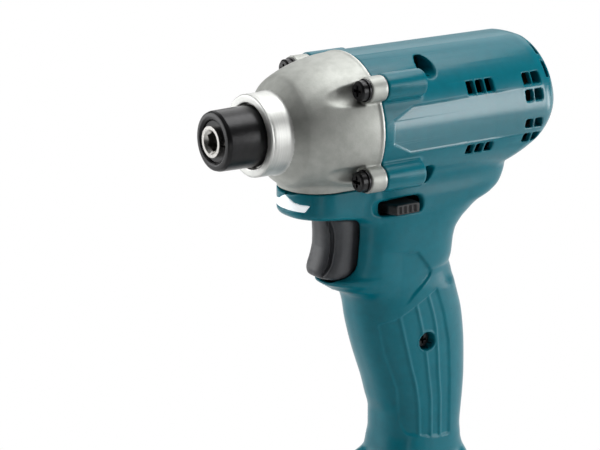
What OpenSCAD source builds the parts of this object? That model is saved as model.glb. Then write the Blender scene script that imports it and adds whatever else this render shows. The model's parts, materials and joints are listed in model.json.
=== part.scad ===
/* [Frame] */
// Height of the tool axis above the surface that the battery stands on
axis_h = 210.4; // [207:0.2:225]
// Distance of the case joint ahead of the middle of the base
joint_x = 32; // [29:0.5:35]

/* [Housing] */
// Outer radius of the motor barrel
barrel_r = 26; // [25.8:0.1:27]
// Length of the barrel behind the case joint
barrel_len = 84; // [83:0.5:90]
// Rounding of the barrel's rear edge
rear_round = 11; // [8:0.5:12]
// Wall of the barrel and the grip
housing_wall = 2.4; // [2:0.1:2.6]
// Depth of the grip, front to rear, at its fullest
grip_depth = 47; // [45:0.5:52]
// Width of the grip
grip_w = 31; // [29:0.5:36]
// Drop from the axis to the lip under the trigger
lip_drop = 58; // [57.5:0.5:60]
// Reach of the chin ahead of the case joint
chin_front = 28; // [26:0.5:30]
// Width of the chin and of the case skirt
chin_w = 32; // [30:0.5:33]
// Length of the foot
foot_len = 104; // [101:0.5:108]
// Width of the foot
foot_w = 66; // [62:0.5:72]
// Height of the foot
foot_h = 34; // [33:0.2:37]

/* [Hammer case] */
// Length of the case from its joint to its shoulder
case_len = 28.3; // [27.6:0.1:29.5]
// Radius of the shoulder
case_front_r = 19.5; // [19:0.1:20.5]
// Length of the shoulder's slope
shoulder_len = 3.4; // [2.5:0.1:4]
// Radius of the nose
nose_r = 15; // [14.5:0.1:16]
// Distance of the nose's front face from the joint
nose_len = 41.1; // [40.6:0.1:42]
// Drop from the axis to the flat underside of the skirt
skirt_drop = 23.4; // [23.2:0.1:23.8]
// Sideways distance of the ears from the axis
ear_y = 23.2; // [22.8:0.1:24]
// Height of the ears above and below the axis
ear_z = 16.6; // [16.2:0.1:17.5]
// Radius of an ear
ear_r = 4.7; // [4.4:0.1:5]
// Length of an ear ahead of the joint
ear_len = 7; // [6:0.25:8]

/* [Bit holder] */
// Width across the flats of the hex socket, for a 6.35 mm bit
hex_flats = 6.45; // [6.4:0.01:6.5]
// Depth of the hex socket
hex_depth = 22; // [18:0.5:24]
// Radius of the anvil's front end
anvil_tip_r = 5.7; // [5.5:0.05:5.8]
// Distance of the anvil's front face from the joint
anvil_front = 57.5; // [57:0.1:59]
// Radius of the sleeve's front rim
sleeve_r = 10.5; // [10.2:0.1:10.8]
// Length of the sleeve
sleeve_len = 15.6; // [15.2:0.1:16]
// Travel of the sleeve, forward
sleeve_travel = 4; // [3.6:0.1:4.2]

/* [Impact drive] */
// Radius of the hammer
hammer_r = 20; // [19.5:0.1:20.2]
// Travel of the hammer, backward
hammer_travel = 7; // [6:0.1:7.4]
// Radius of the spindle
spindle_r = 9; // [8.6:0.1:9.4]
// Wire radius of the hammer spring
hammer_wire_r = 1.3; // [1.1:0.05:1.4]
// Turns of the hammer spring
hammer_turns = 2.75; // [2:0.25:3]
// Module of the gear teeth
gear_module = 0.75; // [0.72:0.01:0.76]
// Width of the gears
gear_w = 6; // [5:0.1:6.2]

/* [Motor] */
// Radius of the motor can
can_r = 19; // [18:0.1:20]
// Length of the motor can
can_len = 19.5; // [18.5:0.1:20]
// Radius of the rotor core
rotor_r = 11.8; // [11:0.1:12]
// Radius of the motor shaft
shaft_r = 2.5; // [2:0.1:2.6]
// Radius of the fan
fan_r = 20; // [17:0.1:22]

/* [Controls] */
// Width of the trigger
trigger_w = 17.6; // [15:0.1:18]
// Travel of the trigger
trigger_travel = 5.5; // [4:0.1:6]
// Overall span of the reversing lever
lever_span = 41; // [39:0.5:44]
// Swing of the reversing lever each way, in degrees
lever_swing = 6; // [3:1:7]

/* [Battery] */
// Length of the battery
battery_len = 116; // [114:0.5:120]
// Width of the battery
battery_w = 74; // [73.5:0.5:80]
// Height of the battery's body
battery_h = 43; // [42.6:0.1:47]
// Wall of the battery case
battery_wall = 2.6; // [2.2:0.1:2.8]
// Radius of a cell
cell_r = 9.1; // [8.8:0.05:9.15]
// Length of a cell
cell_len = 65; // [63:0.5:65.5]
// Travel of the release button, down
button_travel = 4; // [3:0.1:4.2]

/* [Hidden] */
// Round parts of fine and plain turning
$fn = 64;

// Fits and cuts
fit_gap = 0.05;
run_gap = 0.1;
loose_gap = 0.3;
seat_gap = 0.1;
overrun = 1;

// Housing
bore_r = barrel_r - housing_wall;
rear_bore_r = bore_r - housing_wall;
end_bore_r = barrel_r - rear_round + run_gap;
rear_bore_step = 14;
rear_bore_len = 7;
rear_wall = 2.6;
// Slope that takes off the lower rear of the barrel: its start below the axis, its reach ahead of the rear
rear_slope_drop = 5;
rear_slope_len = 19;
rear_slope_end = barrel_r + overrun;
rear_slope_wall = 2;
ridge_len = 17;
case_screw_r = 2;
case_screw_head_r = 3.9;
case_screw_head_h = 3.6;
case_screw_washer_r = 4.4;
case_screw_washer_t = 0.8;
case_screw_depth = 13;
drive_slot_w = 1.1;
drive_slot_h = 1.6;
foot_gap = 0.4;
grip_h = axis_h - lip_drop - foot_h - battery_h - foot_gap;
loft_steps = 16;
// Rows of the neck: height in shares of lip_drop, front in shares of grip_depth, rear in shares of the
// way from the grip's rear to the neck's end, width in shares of grip_w, and the section's squareness
neck_row_shares = [
  [0.31, 0.06, 1, 1.10, 3.4],
  [0.40, 0.06, 0.979, 1.10, 3.4],
  [0.50, 0.06, 0.861, 1.13, 3.4],
  [0.55, 0.06, 0.697, 1.13, 3.4],
  [0.595, 0.06, 0.448, 1.12, 3.2],
  [0.633, 0.055, 0.34, 1.10, 3.0],
  [0.70, 0.055, 0.141, 1.08, 3.0],
  [0.767, 0.06, 0.021, 1.07, 3.0],
  [0.845, 0.07, -0.022, 1.06, 3.0],
  [0.914, 0.085, -0.031, 1.05, 3.0],
  [0.965, 0.10, -0.024, 1.045, 3.0],
  [0.99, 0.15, 0, 1.045, 2.9]
];
neck_rear_share = 0.983;
// Rows of the grip: height in shares of grip_h below the lip, front and rear in shares of grip_depth,
// width in shares of grip_w, and the squareness of the section
grip_row_shares = [
  [0, 0.24, 0.99, 1.04, 2.8],
  [0.02, 0.262, 1.003, 1.035, 2.8],
  [0.045, 0.22, 1.014, 1.03, 2.7],
  [0.075, 0.09, 1.02, 1.025, 2.6],
  [0.115, -0.025, 1.032, 1.02, 2.5],
  [0.165, -0.072, 1.057, 1.015, 2.5],
  [0.255, -0.097, 1.099, 1.01, 2.5],
  [0.35, -0.135, 1.122, 1.00, 2.5],
  [0.43, -0.175, 1.132, 1.00, 2.5],
  [0.51, -0.221, 1.134, 0.995, 2.5],
  [0.59, -0.268, 1.133, 0.99, 2.5],
  [0.68, -0.31, 1.124, 0.98, 2.5],
  [0.775, -0.352, 1.106, 0.975, 2.5],
  [0.865, -0.353, 1.094, 0.975, 2.5],
  [0.93, -0.34, 1.095, 1.00, 2.6],
  [0.98, -0.323, 1.115, 1.03, 2.6]
];
// Rows of the foot: height in shares of foot_h, front and rear in shares of foot_len from its middle,
// width in shares of foot_w, and the squareness of the section
foot_row_shares = [
  [0, 0.171, 0.202, 0.497, 2.7],
  [0.03, 0.18, 0.206, 0.509, 2.8],
  [0.118, 0.236, 0.221, 0.545, 2.9],
  [0.235, 0.308, 0.252, 0.636, 3.2],
  [0.4, 0.40, 0.322, 0.79, 3.8],
  [0.53, 0.457, 0.394, 0.894, 4.8],
  [0.676, 0.49, 0.466, 0.97, 6],
  [0.794, 0.5, 0.5, 1, 7],
  [1, 0.5, 0.5, 1, 7]
];
foot_hollow_share = 0.4;
foot_mid = -joint_x;
chin_top = skirt_drop + seat_gap;
chin_drop = 35.5;
chin_round = 8;
chin_front_drop = 28.5;
chin_under_x = 13;
chin_under_drop = 32.5;
chin_slope_x = 24;
chin_rear = -6;

// Light
lens_top_drop = 24.4;
lens_h = 4;
lens_t = 2;
lens_rear = 21.5;
board_t = 1.4;
board_w = 18;
led_r = 1.6;
led_len = 1.8;
led_y = 5;

// Vents: rows by height, columns by distance behind the joint
vent_w = 3.4;
vent_pitch = 4.4;
mid_vent_inset = 43.4;
mid_vent_x = -(barrel_len - mid_vent_inset);
mid_vent_zs = [11.5, -11.4];
mid_vent_count = 3;
rear_vent_inset = 17.1;
rear_vent_x = -(barrel_len - rear_vent_inset);
rear_vent_zs = [11.7, 5.8, -4.7, -10.4];
rear_vent_count = 2;
vent_h = 4;
vent_inner_y = 15;

// Bare side panel, a shallow pocket
panel_front = -4;
panel_rear_inset = 19;
panel_rear = -(barrel_len - panel_rear_inset);
panel_h = 17.6;
panel_depth = 0.5;
panel_nose = 9;
panel_nose_h = 8.8;

foot_screw_drop = 14;
foot_screw_z = -(axis_h - battery_h - foot_gap - foot_h) - foot_screw_drop;
// Screws that join the halves: place from the joint, height, seat of the head, end of the boss
housing_sites = [
  [-24.8, 20, 6, 9.8],
  [-24.2, -19.4, 11, 15],
  [-28.6, -85.6, 9.5, 13.6],
  [-14, foot_screw_z, 20, 20],
  [-50, foot_screw_z, 20, 20]
];
housing_screw_r = 1.9;
housing_head_r = 3;
housing_head_h = 2.4;
housing_recess_r = 3.3;
housing_boss_r = 4;
housing_screw_reach = 8.5;

// Hammer case
case_curve = 2.2;
case_steps = 9;
nose_chamfer = 0.5;
skirt_round = 8;
scoop_r = 5.1;
register_len = 5;
wide_room_len = 19;
wing_room_r = 18.2;
case_room_len = 25.5;
bush_r = 10.5;
bush_len = 12.9;
nose_recess_r = 12;
nose_recess = 2.5;

// Bit holder
hex_r = hex_flats / sqrt(3);
hex_lead_r = 4.5;
hex_lead = 1.3;
journal_r = 7;
wing_t = 6.6;
wing_len = 17.2;
wing_w = 9;
hub_r = 9.5;
thrust_t = 1.2;
wing_front = case_room_len - thrust_t - 2 * seat_gap;
wing_rear = wing_front - wing_t;
tip_start = nose_len - nose_recess - seat_gap;
pilot_r = 3.5;
pilot_depth = 7.5;
bit_ball_r = 1.75;
bit_ball_place = 4.35;
bit_ball_x = 44.5;
sleeve_back = 1.5;
sleeve_front = anvil_front - sleeve_back;
sleeve_flare = 0.5;
sleeve_edge = 0.7;
sleeve_rear = sleeve_front - sleeve_len;
sleeve_rib_r = bit_ball_place + bit_ball_r + fit_gap;
ball_free_gap = 0.5;
sleeve_rib_rear = bit_ball_x + bit_ball_r + ball_free_gap - sleeve_travel;
sleeve_rib_front = bit_ball_x + bit_ball_r;
sleeve_room_r = 8.6;
sleeve_rear_r = 7.6;
clip_t = 0.8;
clip_gap_w = 2.6;
clip_groove = 0.5;
clip_sink = 0.3;
clip_front = anvil_front - sleeve_back - clip_sink;
clip_r = 7.4;
washer_t = 0.8;
washer_r = sleeve_room_r - 2 * run_gap;
washer_front = clip_front - clip_t - seat_gap;
sleeve_wire_r = 0.45;
sleeve_turns = 2.5;

// Impact drive, distances from the case joint
hammer_face_gap = 2.1;
hammer_front = wing_rear - hammer_face_gap;
hammer_len = 15;
hammer_room_r = hammer_r + 2 * loose_gap;
hammer_rear = hammer_front - hammer_len;
lug_h = 6.4;
lug_w = 11;
lug_in_r = 12;
lug_out_r = 17.6;
pocket_in_r = 12.4;
pocket_out_r = 18.2;
pocket_wall = 4;
pocket_end = hammer_front - pocket_wall;
thrust_ball_r = 1.2;
thrust_ball_count = 22;
spring_seat_r = (pocket_in_r + pocket_out_r) / 2;
spring_washer_t = 1.1;
spring_washer_front = pocket_end - 2 * thrust_ball_r - 2 * seat_gap;
cam_ball_r = 2.4;
cam_ball_x = 8;
cam_slot_rear = 4.5;
cam_groove_len = 5;
plate_gap = 1;
plate_r = 17.4;
plate_t = 2.5;
plate_front = hammer_rear - hammer_travel - plate_gap;
planet_front = plate_front - plate_t - 2 * seat_gap;
planet_rear = planet_front - gear_w;
rear_plate_t = 2;
rear_plate_rear = planet_rear - 2 * seat_gap - rear_plate_t;
spindle_end_gap = 1.2;
spindle_front = wing_rear - spindle_end_gap;
pilot_len = 8;
spindle_hub_r = 7;
pinion_room_r = 4.9;
post_w = 9;
post_in_y = 9.5;
planet_pin_r = 2;

// Gear teeth
sun_teeth = 10;
planet_teeth = 20;
ring_teeth = 50;
pressure_angle = 25;
addendum_share = 0.8;
dedendum_share = 1.1;
backlash = 0.07;
flank_steps = 3;
planet_place = gear_module * (sun_teeth + planet_teeth) / 2;
gear_rim = 2.8;
ring_r = gear_module * ring_teeth / 2 + gear_rim;

// Gear case
gear_case_wall = 1.75;
gear_case_r = ring_r + gear_case_wall;
gear_case_front = register_len - loose_gap;
spigot_wall = 1.5;
spigot_r = hammer_room_r + spigot_wall;
gear_case_step_r = plate_r + 2 * loose_gap;
gear_case_floor = rear_plate_rear - 2 * loose_gap;
gear_case_floor_t = 2;
gear_case_rear = gear_case_floor - gear_case_floor_t;
spindle_bearing_r = 12;
spindle_bearing_w = 4;
bearing_boss_wall = 2.4;
spindle_bearing_front = rear_plate_rear - loose_gap;
spindle_bearing_rear = spindle_bearing_front - spindle_bearing_w;
boss_end_wall = 1;
boss_rear = spindle_bearing_rear - seat_gap - boss_end_wall;
boss_hole_r = 6;
front_bearing_r = 8;
front_bearing_w = 4.5;
front_bearing_front = boss_rear - 2 * seat_gap;
front_bearing_rear = front_bearing_front - front_bearing_w;
seal_wire_r = 0.45;
seal_x = 2.2;
seal_place = spigot_r - seal_wire_r;

// Motor, distances from the case joint
pinion_seat_r = 1.6;
pinion_shank_r = 3.2;
can_end_gap = 15;
can_rear = -(barrel_len - can_end_gap);
can_front = can_rear + can_len;
can_t = 2.2;
fan_room = front_bearing_rear - can_front;
fan_front_share = 0.52;
fan_hub_share = 0.41;
fan_blade_share = 0.29;
fan_disc_share = 0.07;
fan_front = front_bearing_rear - fan_room * fan_front_share;
fan_hub_r = 5;
fan_hub_len = fan_room * fan_hub_share;
fan_disc_t = fan_room * fan_disc_share;
fan_blade_h = fan_room * fan_blade_share;
fan_blade_t = 1.2;
fan_blade_in = 7;
fan_blades = 12;
magnet_t = 4.4;
magnet_inset = 1;
magnet_gap_w = 9;
core_slots = 5;
core_slot_w = 2.2;
core_inset = 3;
core_front = can_front - core_inset;
core_len = 13.5;
core_rear = core_front - core_len;
core_hub_r = 4.6;
winding_t = 2.4;
winding_step = 1.2;
winding_r = rotor_r - winding_step;
commutator_r = 5.5;
commutator_len = 5;
commutator_riser = 1.8;
commutator_front = core_rear - winding_t - commutator_riser;
commutator_bars = 10;
bar_gap = 0.5;
bar_gap_depth = 0.6;
holder_len = 7.6;
holder_rear = can_rear - holder_len;
holder_in_r = 14.5;
brush_w = 4.5;
brush_t = 4;
brush_len = 6;
brush_box_wall = 1.2;
brush_x = commutator_front - commutator_len / 2;
brush_wire_r = 0.2;
brush_spring_r = 1.4;
brush_turns = 3;
rear_bearing_r = 5;
rear_bearing_w = 4;
rear_bearing_front = -(barrel_len - rear_wall) + rear_bearing_w + 2 * seat_gap;
rear_boss_wall = 2.2;
shaft_rear = rear_bearing_front - rear_bearing_w;
can_rib_w = 2;
can_rib_inset = 3.5;

// Controls
trigger_top = 36;
trigger_bottom = lip_drop - loose_gap;
trigger_toe = 16;
trigger_front = 13.2;
trigger_hollow_r = 20;
trigger_waist_drop = 44.5;
trigger_chamfer = 4;
trigger_rear = -1.5;
trigger_round = 7.5;
trigger_groove_x = 9.6;
trigger_groove_w = 1.2;
trigger_groove_depth = 0.8;
trigger_slot_gap = 0.4;
plunger_r = 2.2;
plunger_len = 10.5;
plunger_drop = 46.5;
switch_front = -8;
switch_len = 32;
switch_w = 18.4;
switch_top = 37.4;
switch_h = 21.6;
switch_rib_t = 1.6;
switch_rib_inset = 4;
switch_rib_end = 14.4;
switch_bore_depth = plunger_len + trigger_travel - (trigger_rear - switch_front) + 2 * loose_gap;
trigger_wire_r = 0.4;
trigger_spring_r = 3.5;
trigger_turns = 4;
lever_drop = 30.9;
lever_h = 4;
lever_pivot_x = -34;
lever_pivot_r = 2.5;
lever_hub_r = 5;
lever_arm_w = 7;
lever_tip_front = -9;
lever_tip_rear = -20;
lever_tip_round = 2;
lever_window_gap = lever_span / 2 * sin(lever_swing) + loose_gap;
lever_window_rise = 0.6;

// Foot rails and terminals, heights above the base
tongue_h = 12;
tongue_w = 44;
rail_w = 4;
rail_h = 5;
rail_gap = 0.4;
tongue_inset = 15;
tongue_rear = -(battery_len / 2 - tongue_inset);
block_len = 22;
block_w = 24;
block_h = 8.2;
block_bottom = battery_h + tongue_h;
blade_t = 0.9;
blade_len = 14;
blade_h = 9;
blade_seat = 4;
blade_y = 8;
blade_slot_gap = 0.75;

// Battery
battery_round = 7;
battery_split = 24;
battery_edge = 1.6;
cell_pitch = 19.2;
cell_room_gap = 18.9;
cell_rows = floor((battery_len - cell_room_gap) / cell_pitch);
cell_layers = 2;
cell_layer_h = 18.9;
cell_base = 2.9;
cell_rear_gap = 5.1;
cell_mid = -battery_len / 2 + battery_wall + cell_rear_gap + cell_r + cell_pitch * (cell_rows - 1) / 2;
cell_end = cell_mid + cell_pitch * (cell_rows - 1) / 2 + cell_r;
cell_end_gap = 0.5;
cavity_front = cell_end + cell_end_gap;
cavity_top = battery_h - battery_wall;
holder_t = 6;
holder_y = 20;
holder_gap = 0.1;
holder_end = 0.4;
holder_edge = 5;
strap_t = 0.3;
strap_h = 8;
tongue_wall = 2.2;
board_h = 1.6;
board_len = 60;
clip_wall = 0.4;
clip_len = 10;
clip_h = 7;
button_w = 24;
button_wall = 1.2;
button_rear = cavity_front + button_wall;
button_drop = 14;
tongue_front_gap = 2.4;
tongue_front = button_rear - tongue_front_gap;
notch_gap = 0.2;
notch_rear = button_rear - notch_gap;
button_proud = 0.6;
nib_len = 3;
nib_rise = 4.4;
nib_w = 16;
button_gap = 0.4;
latch_wire_r = 0.35;
latch_spring_r = 2.6;
latch_turns = 3;
battery_screw_r = 1.5;
battery_screw_head_r = 2.6;
battery_screw_head_h = 1.6;
battery_screw_len = 32;
battery_screw_seat = 3;
battery_screw_inset = 4.6;
battery_screw_side = 4;
battery_screw_y = battery_w / 2 - battery_screw_side;
battery_boss_r = 2.7;

// Leads, as points behind the joint, beside the middle and above the axis
lead_r = 1.1;
lead_sides = 8;
motor_lead_y = 5;
motor_lead_start = [[-40.1, -48], [-41.6, -48], [-43.4, -42], [-50, -34]];
motor_lead_turns = [[8.6, 2.2], [7, -0.8], [6.2, -3.8]];
motor_lead_tip = [6.1, 0.5];
motor_lead_mid_x = (motor_lead_start[3][0] + can_rear + motor_lead_turns[0][0]) / 2;
motor_lead_mid_drop = 2.6;
motor_lead_route = concat(motor_lead_start, [[motor_lead_mid_x, -barrel_r - motor_lead_mid_drop]],
  [for (e = motor_lead_turns) [can_rear + e[0], -barrel_r - e[1]]],
  [[can_rear + motor_lead_tip[0], -can_r - motor_lead_tip[1]]]);
battery_lead_y = 4;
battery_lead_low = block_bottom + block_h + seat_gap - axis_h;
battery_lead_rise = 3.7;
battery_lead_route = [[foot_mid, battery_lead_low], [foot_mid, battery_lead_low + battery_lead_rise],
  [-34.5, -126], [-37.5, -112], [-41, -98], [-41, -84], [-36, -70], [-31.5, -62], [-31.5, -59.1]];

// Shapes that several pieces share

// Places a shape that is drawn from the case joint, on the tool axis
module at_joint() {
  translate([joint_x, 0, axis_h]) children();
}

// Turns an outline of radius and forward distance about the tool axis
module lathe(outline, sweep = 360) {
  rotate([0, 90, 0]) rotate_extrude(angle = sweep) polygon(outline);
}

// A plain ring about the tool axis
module ring(r_out, r_in, rear, front, sweep = 360) {
  lathe([[r_in, rear], [r_out, rear], [r_out, front], [r_in, front]], sweep);
}

// A round bar along the tool axis
module bar(r, rear, front) {
  translate([rear, 0, 0]) rotate([0, 90, 0]) cylinder(r = r, h = front - rear);
}

// A box between two corners
module block(low, high) {
  translate(low) cube(high - low);
}

// A rectangle with round corners, about its middle
module round_plan(size, r) {
  square([size[0] - 2 * r, size[1]], center = true);
  square([size[0], size[1] - 2 * r], center = true);
  for (sx = [-1, 1], sy = [-1, 1])
    translate([sx * (size[0] / 2 - r), sy * (size[1] / 2 - r)]) circle(r = r);
}

// The plan of the chin and the skirt, square behind and round at its front corners
module chin_plan(rear, front, width, r) {
  translate([rear, -width / 2]) square([front - r - rear, width]);
  translate([rear, -width / 2 + r]) square([front - rear, width - 2 * r]);
  for (side = [-1, 1]) translate([front - r, side * (width / 2 - r)]) circle(r = r);
}

function unit_vector(v) = v / norm(v);
function tube_ring(p, along, out, r, sides) =
  let (n = unit_vector(out - (out * along) * along), b = cross(along, n))
  [for (k = [0:sides - 1]) p + r * (cos(360 * k / sides) * n + sin(360 * k / sides) * b)];

// A tube along points, each with a direction that its section keeps
module swept_tube(points, outs, r, sides) {
  last = len(points) - 1;
  alongs = [for (i = [0:last]) unit_vector(points[min(i + 1, last)] - points[max(i - 1, 0)])];
  rings = [for (i = [0:last]) each tube_ring(points[i], alongs[i], outs[i], r, sides)];
  walls = [for (i = [0:last - 1], k = [0:sides - 1])
    let (a = i * sides + k, b = i * sides + (k + 1) % sides)
    each [[a, b + sides, b], [a, a + sides, b + sides]]];
  caps = [[for (k = [0:sides - 1]) k], [for (k = [sides - 1:-1:0]) last * sides + k]];
  polyhedron(rings, concat(walls, caps));
}

// A coil spring along +X from the origin, between flat seats
coil_rings = 12;
coil_sides = 6;
module coil(mean_r, wire_r, length, turns) {
  last = ceil(turns * coil_rings);
  run = length - 2 * wire_r;
  spins = [for (i = [0:last]) 360 * turns * i / last];
  points = [for (i = [0:last]) [wire_r + run * i / last, mean_r * cos(spins[i]), mean_r * sin(spins[i])]];
  outs = [for (s = spins) [0, cos(s), sin(s)]];
  swept_tube(points, outs, wire_r, coil_sides);
}

// A sealed ball bearing as one solid: its shields lie a little below the faces of its races
race_share = 0.28;
shield_sink = 0.3;
module bearing(r_out, r_in, rear, front) {
  race = (r_out - r_in) * race_share;
  difference() {
    ring(r_out, r_in, rear, front);
    ring(r_out - race, r_in + race, rear - overrun, rear + shield_sink);
    ring(r_out - race, r_in + race, front - shield_sink, front + overrun);
  }
}

// The outline of a gear: half the angle of a tooth at radius r, then all its points
function involute(angle) = tan(angle) - angle * PI / 180;
function tooth_half(r, base_r, half) =
  half + (involute(pressure_angle) - involute(acos(min(1, base_r / max(r, base_r))))) * 180 / PI;
function gear_points(teeth, out_add, root_ded, play) =
  let (
    pitch_r = gear_module * teeth / 2,
    base_r = pitch_r * cos(pressure_angle),
    root_r = pitch_r - root_ded,
    tip_r = pitch_r + out_add,
    low_r = max(root_r, base_r),
    half = 90 / teeth + play / pitch_r * 180 / PI,
    radii = concat(root_r < base_r ? [root_r] : [],
      [for (i = [0:flank_steps]) low_r + (tip_r - low_r) * i / flank_steps])
  )
  [for (i = [0:teeth - 1])
    let (mid = 360 * i / teeth)
    each concat(
      [for (r = radii) let (a = mid - tooth_half(r, base_r, half)) r * [cos(a), sin(a)]],
      [for (k = [len(radii) - 1:-1:0])
        let (r = radii[k], a = mid + tooth_half(r, base_r, half)) r * [cos(a), sin(a)]])];
tooth_add = gear_module * addendum_share;
tooth_ded = gear_module * dedendum_share;

// A gear along the tool axis, turned by phase
module gear(teeth, phase, rear, front) {
  translate([rear, 0, 0]) rotate([0, 90, 0]) rotate([0, 0, phase])
    linear_extrude(height = front - rear) polygon(gear_points(teeth, tooth_add, tooth_ded, -backlash));
}

// Sections of the lower body, from the tool axis: height, front, rear, half width, squareness
neck_rear = neck_rear_share * grip_depth;
neck_end_inset = 13.7;
neck_end = barrel_len - neck_end_inset;
neck_rows = [for (s = neck_row_shares)
  [-s[0] * lip_drop, s[1] * grip_depth, -neck_rear - s[2] * (neck_end - neck_rear),
    s[3] * grip_w / 2, s[4]]];
grip_rows = [for (s = grip_row_shares)
  [-lip_drop - s[0] * grip_h, s[1] * grip_depth, -s[2] * grip_depth, s[3] * grip_w / 2, s[4]]];
foot_rows = [for (s = foot_row_shares)
  [-lip_drop - grip_h - s[0] * foot_h, foot_mid + s[1] * foot_len, foot_mid - s[2] * foot_len,
    s[3] * foot_w / 2, s[4]]];
hollow_rows = [for (i = [0:len(foot_rows) - 1]) if (foot_row_shares[i][0] <= foot_hollow_share) foot_rows[i]];
function inset_row(row, wall) = [row[0], row[1] - wall, row[2] + wall, row[3] - wall, row[4]];
function half_section(row) =
  let (mid = (row[1] + row[2]) / 2, half = (row[1] - row[2]) / 2)
  [for (k = [0:loft_steps])
    let (t = 180 * k / loft_steps)
    [mid + half * sign(cos(t)) * pow(abs(cos(t)), 2 / row[4]), row[3] * pow(sin(t), 2 / row[4]), row[0]]];

// The left half of a body that runs through the rows, from the top down
module half_loft(rows) {
  n = loft_steps + 1;
  last = len(rows) - 1;
  points = [for (r = rows) each half_section(r)];
  walls = [for (i = [0:last - 1], k = [0:loft_steps - 1])
    let (a = i * n + k, b = i * n + k + 1)
    each [[a, b, b + n], [a, b + n, a + n]]];
  middle = [for (i = [0:last - 1])
    let (a = i * n + loft_steps, b = i * n)
    each [[a, b, b + n], [a, b + n, a + n]]];
  caps = [[for (k = [loft_steps:-1:0]) k], [for (k = [0:loft_steps]) last * n + k]];
  polyhedron(points, concat(walls, middle, caps));
}

// Housing

// The solid barrel of the left half, with its rounded rear edge
module barrel_half() {
  rotate([0, 90, 0]) rotate_extrude(angle = 180) {
    translate([0, -barrel_len]) square([barrel_r - rear_round, barrel_len]);
    translate([0, -barrel_len + rear_round]) square([barrel_r, barrel_len - rear_round]);
    intersection() {
      translate([barrel_r - rear_round, -barrel_len + rear_round]) circle(r = rear_round);
      translate([0, -barrel_len]) square([barrel_r, barrel_len]);
    }
  }
}

// The wedge that the slope takes off the barrel's lower rear, moved inwards by a wall
module rear_slope(inset) {
  along = [rear_slope_len, rear_slope_drop - rear_slope_end];
  start = [-barrel_len, -rear_slope_drop] + inset * [-along[1], along[0]] / norm(along);
  rotate([90, 0, 0]) translate([0, 0, -barrel_r]) linear_extrude(height = 2 * barrel_r)
    polygon([start - along, start + 2 * along, [start[0] - along[0], start[1] + 2 * along[1]]]);
}

// The ridges behind the case ears
module ridges() {
  for (up = [-1, 1]) translate([0, ear_y, up * ear_z]) {
    bar(ear_r, -ridge_len, 0);
    translate([-ridge_len, 0, 0]) sphere(r = ear_r);
  }
}

// The left half of the chin, round in plan and sloped below
module chin_half() {
  intersection() {
    translate([0, 0, -chin_drop]) linear_extrude(height = chin_drop - chin_top)
      chin_plan(chin_rear, chin_front, chin_w, chin_round);
    rotate([90, 0, 180]) mirror([1, 0, 0]) linear_extrude(height = chin_w)
      polygon([[chin_rear, -chin_top], [chin_front, -chin_top], [chin_front, -chin_front_drop],
        [chin_slope_x, -chin_under_drop], [chin_under_x, -chin_drop], [chin_rear, -chin_drop]]);
  }
}

// The space of the hammer case, ahead of the joint and above the chin
module case_space() {
  block([0, -overrun, -chin_top], [nose_len, 2 * barrel_r, barrel_r]);
}

// The room for the drive and the motor
module barrel_room() {
  difference() {
    lathe([[0, overrun], [bore_r, overrun], [bore_r, -barrel_len + rear_bore_step],
      [rear_bore_r, -barrel_len + rear_bore_step], [rear_bore_r, -barrel_len + rear_bore_len],
      [end_bore_r, -barrel_len + rear_bore_len], [end_bore_r, -barrel_len + rear_wall],
      [0, -barrel_len + rear_wall]]);
    rear_slope(rear_slope_wall);
  }
}

// Slots along one row of vents, cut from the side
module vent_row(x, z, count) {
  for (i = [0:count - 1])
    block([x - i * vent_pitch - vent_w / 2, vent_inner_y, z - vent_h / 2],
      [x - i * vent_pitch + vent_w / 2, barrel_r + overrun, z + vent_h / 2]);
}

// The band of the chin's front that the lens fills
module lens_band(gap) {
  intersection() {
    translate([0, 0, -lens_top_drop - lens_h - gap]) linear_extrude(height = lens_h + 2 * gap)
      difference() {
        chin_plan(chin_rear, chin_front + gap, chin_w + 2 * gap, chin_round + gap);
        chin_plan(chin_rear - overrun, chin_front - lens_t - gap, chin_w - 2 * lens_t - 2 * gap,
          chin_round - lens_t - gap);
      }
    block([lens_rear - gap, -chin_w, -chin_drop], [chin_front + overrun, chin_w, 0]);
  }
}

// Hollows of the chin: behind the lens, and a way back for the light's leads
module chin_room() {
  block([trigger_rear - overrun, -overrun, -lens_top_drop - lens_h],
    [chin_front - lens_t - 2 * fit_gap, chin_w / 2 - chin_round, -lens_top_drop]);
}

// The opening that the trigger slides in
module trigger_slot() {
  half = trigger_w / 2 + trigger_slot_gap;
  block([trigger_rear - trigger_travel - overrun, -overrun, -lip_drop],
    [trigger_toe + overrun, half, -trigger_top + trigger_slot_gap]);
}

// The window for the reversing lever's tip
module lever_window() {
  half_h = lever_h / 2 + lever_window_rise;
  block([lever_tip_rear - lever_window_gap, -overrun, -lever_drop - half_h],
    [lever_tip_front + lever_window_gap, lever_span, -lever_drop + half_h]);
}

// The bare panel's pocket on the barrel's side
module panel_pocket() {
  top = panel_h / 2;
  nose_top = panel_nose_h / 2;
  intersection() {
    ring(barrel_r + overrun, barrel_r - panel_depth, panel_rear - overrun, panel_front + overrun);
    rotate([90, 0, 180]) mirror([1, 0, 0]) linear_extrude(height = barrel_r + overrun)
      polygon([[panel_front, nose_top], [panel_front - panel_nose, top], [panel_rear, top],
        [panel_rear, -top], [panel_front - panel_nose, -top], [panel_front, -nose_top]]);
  }
}

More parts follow.
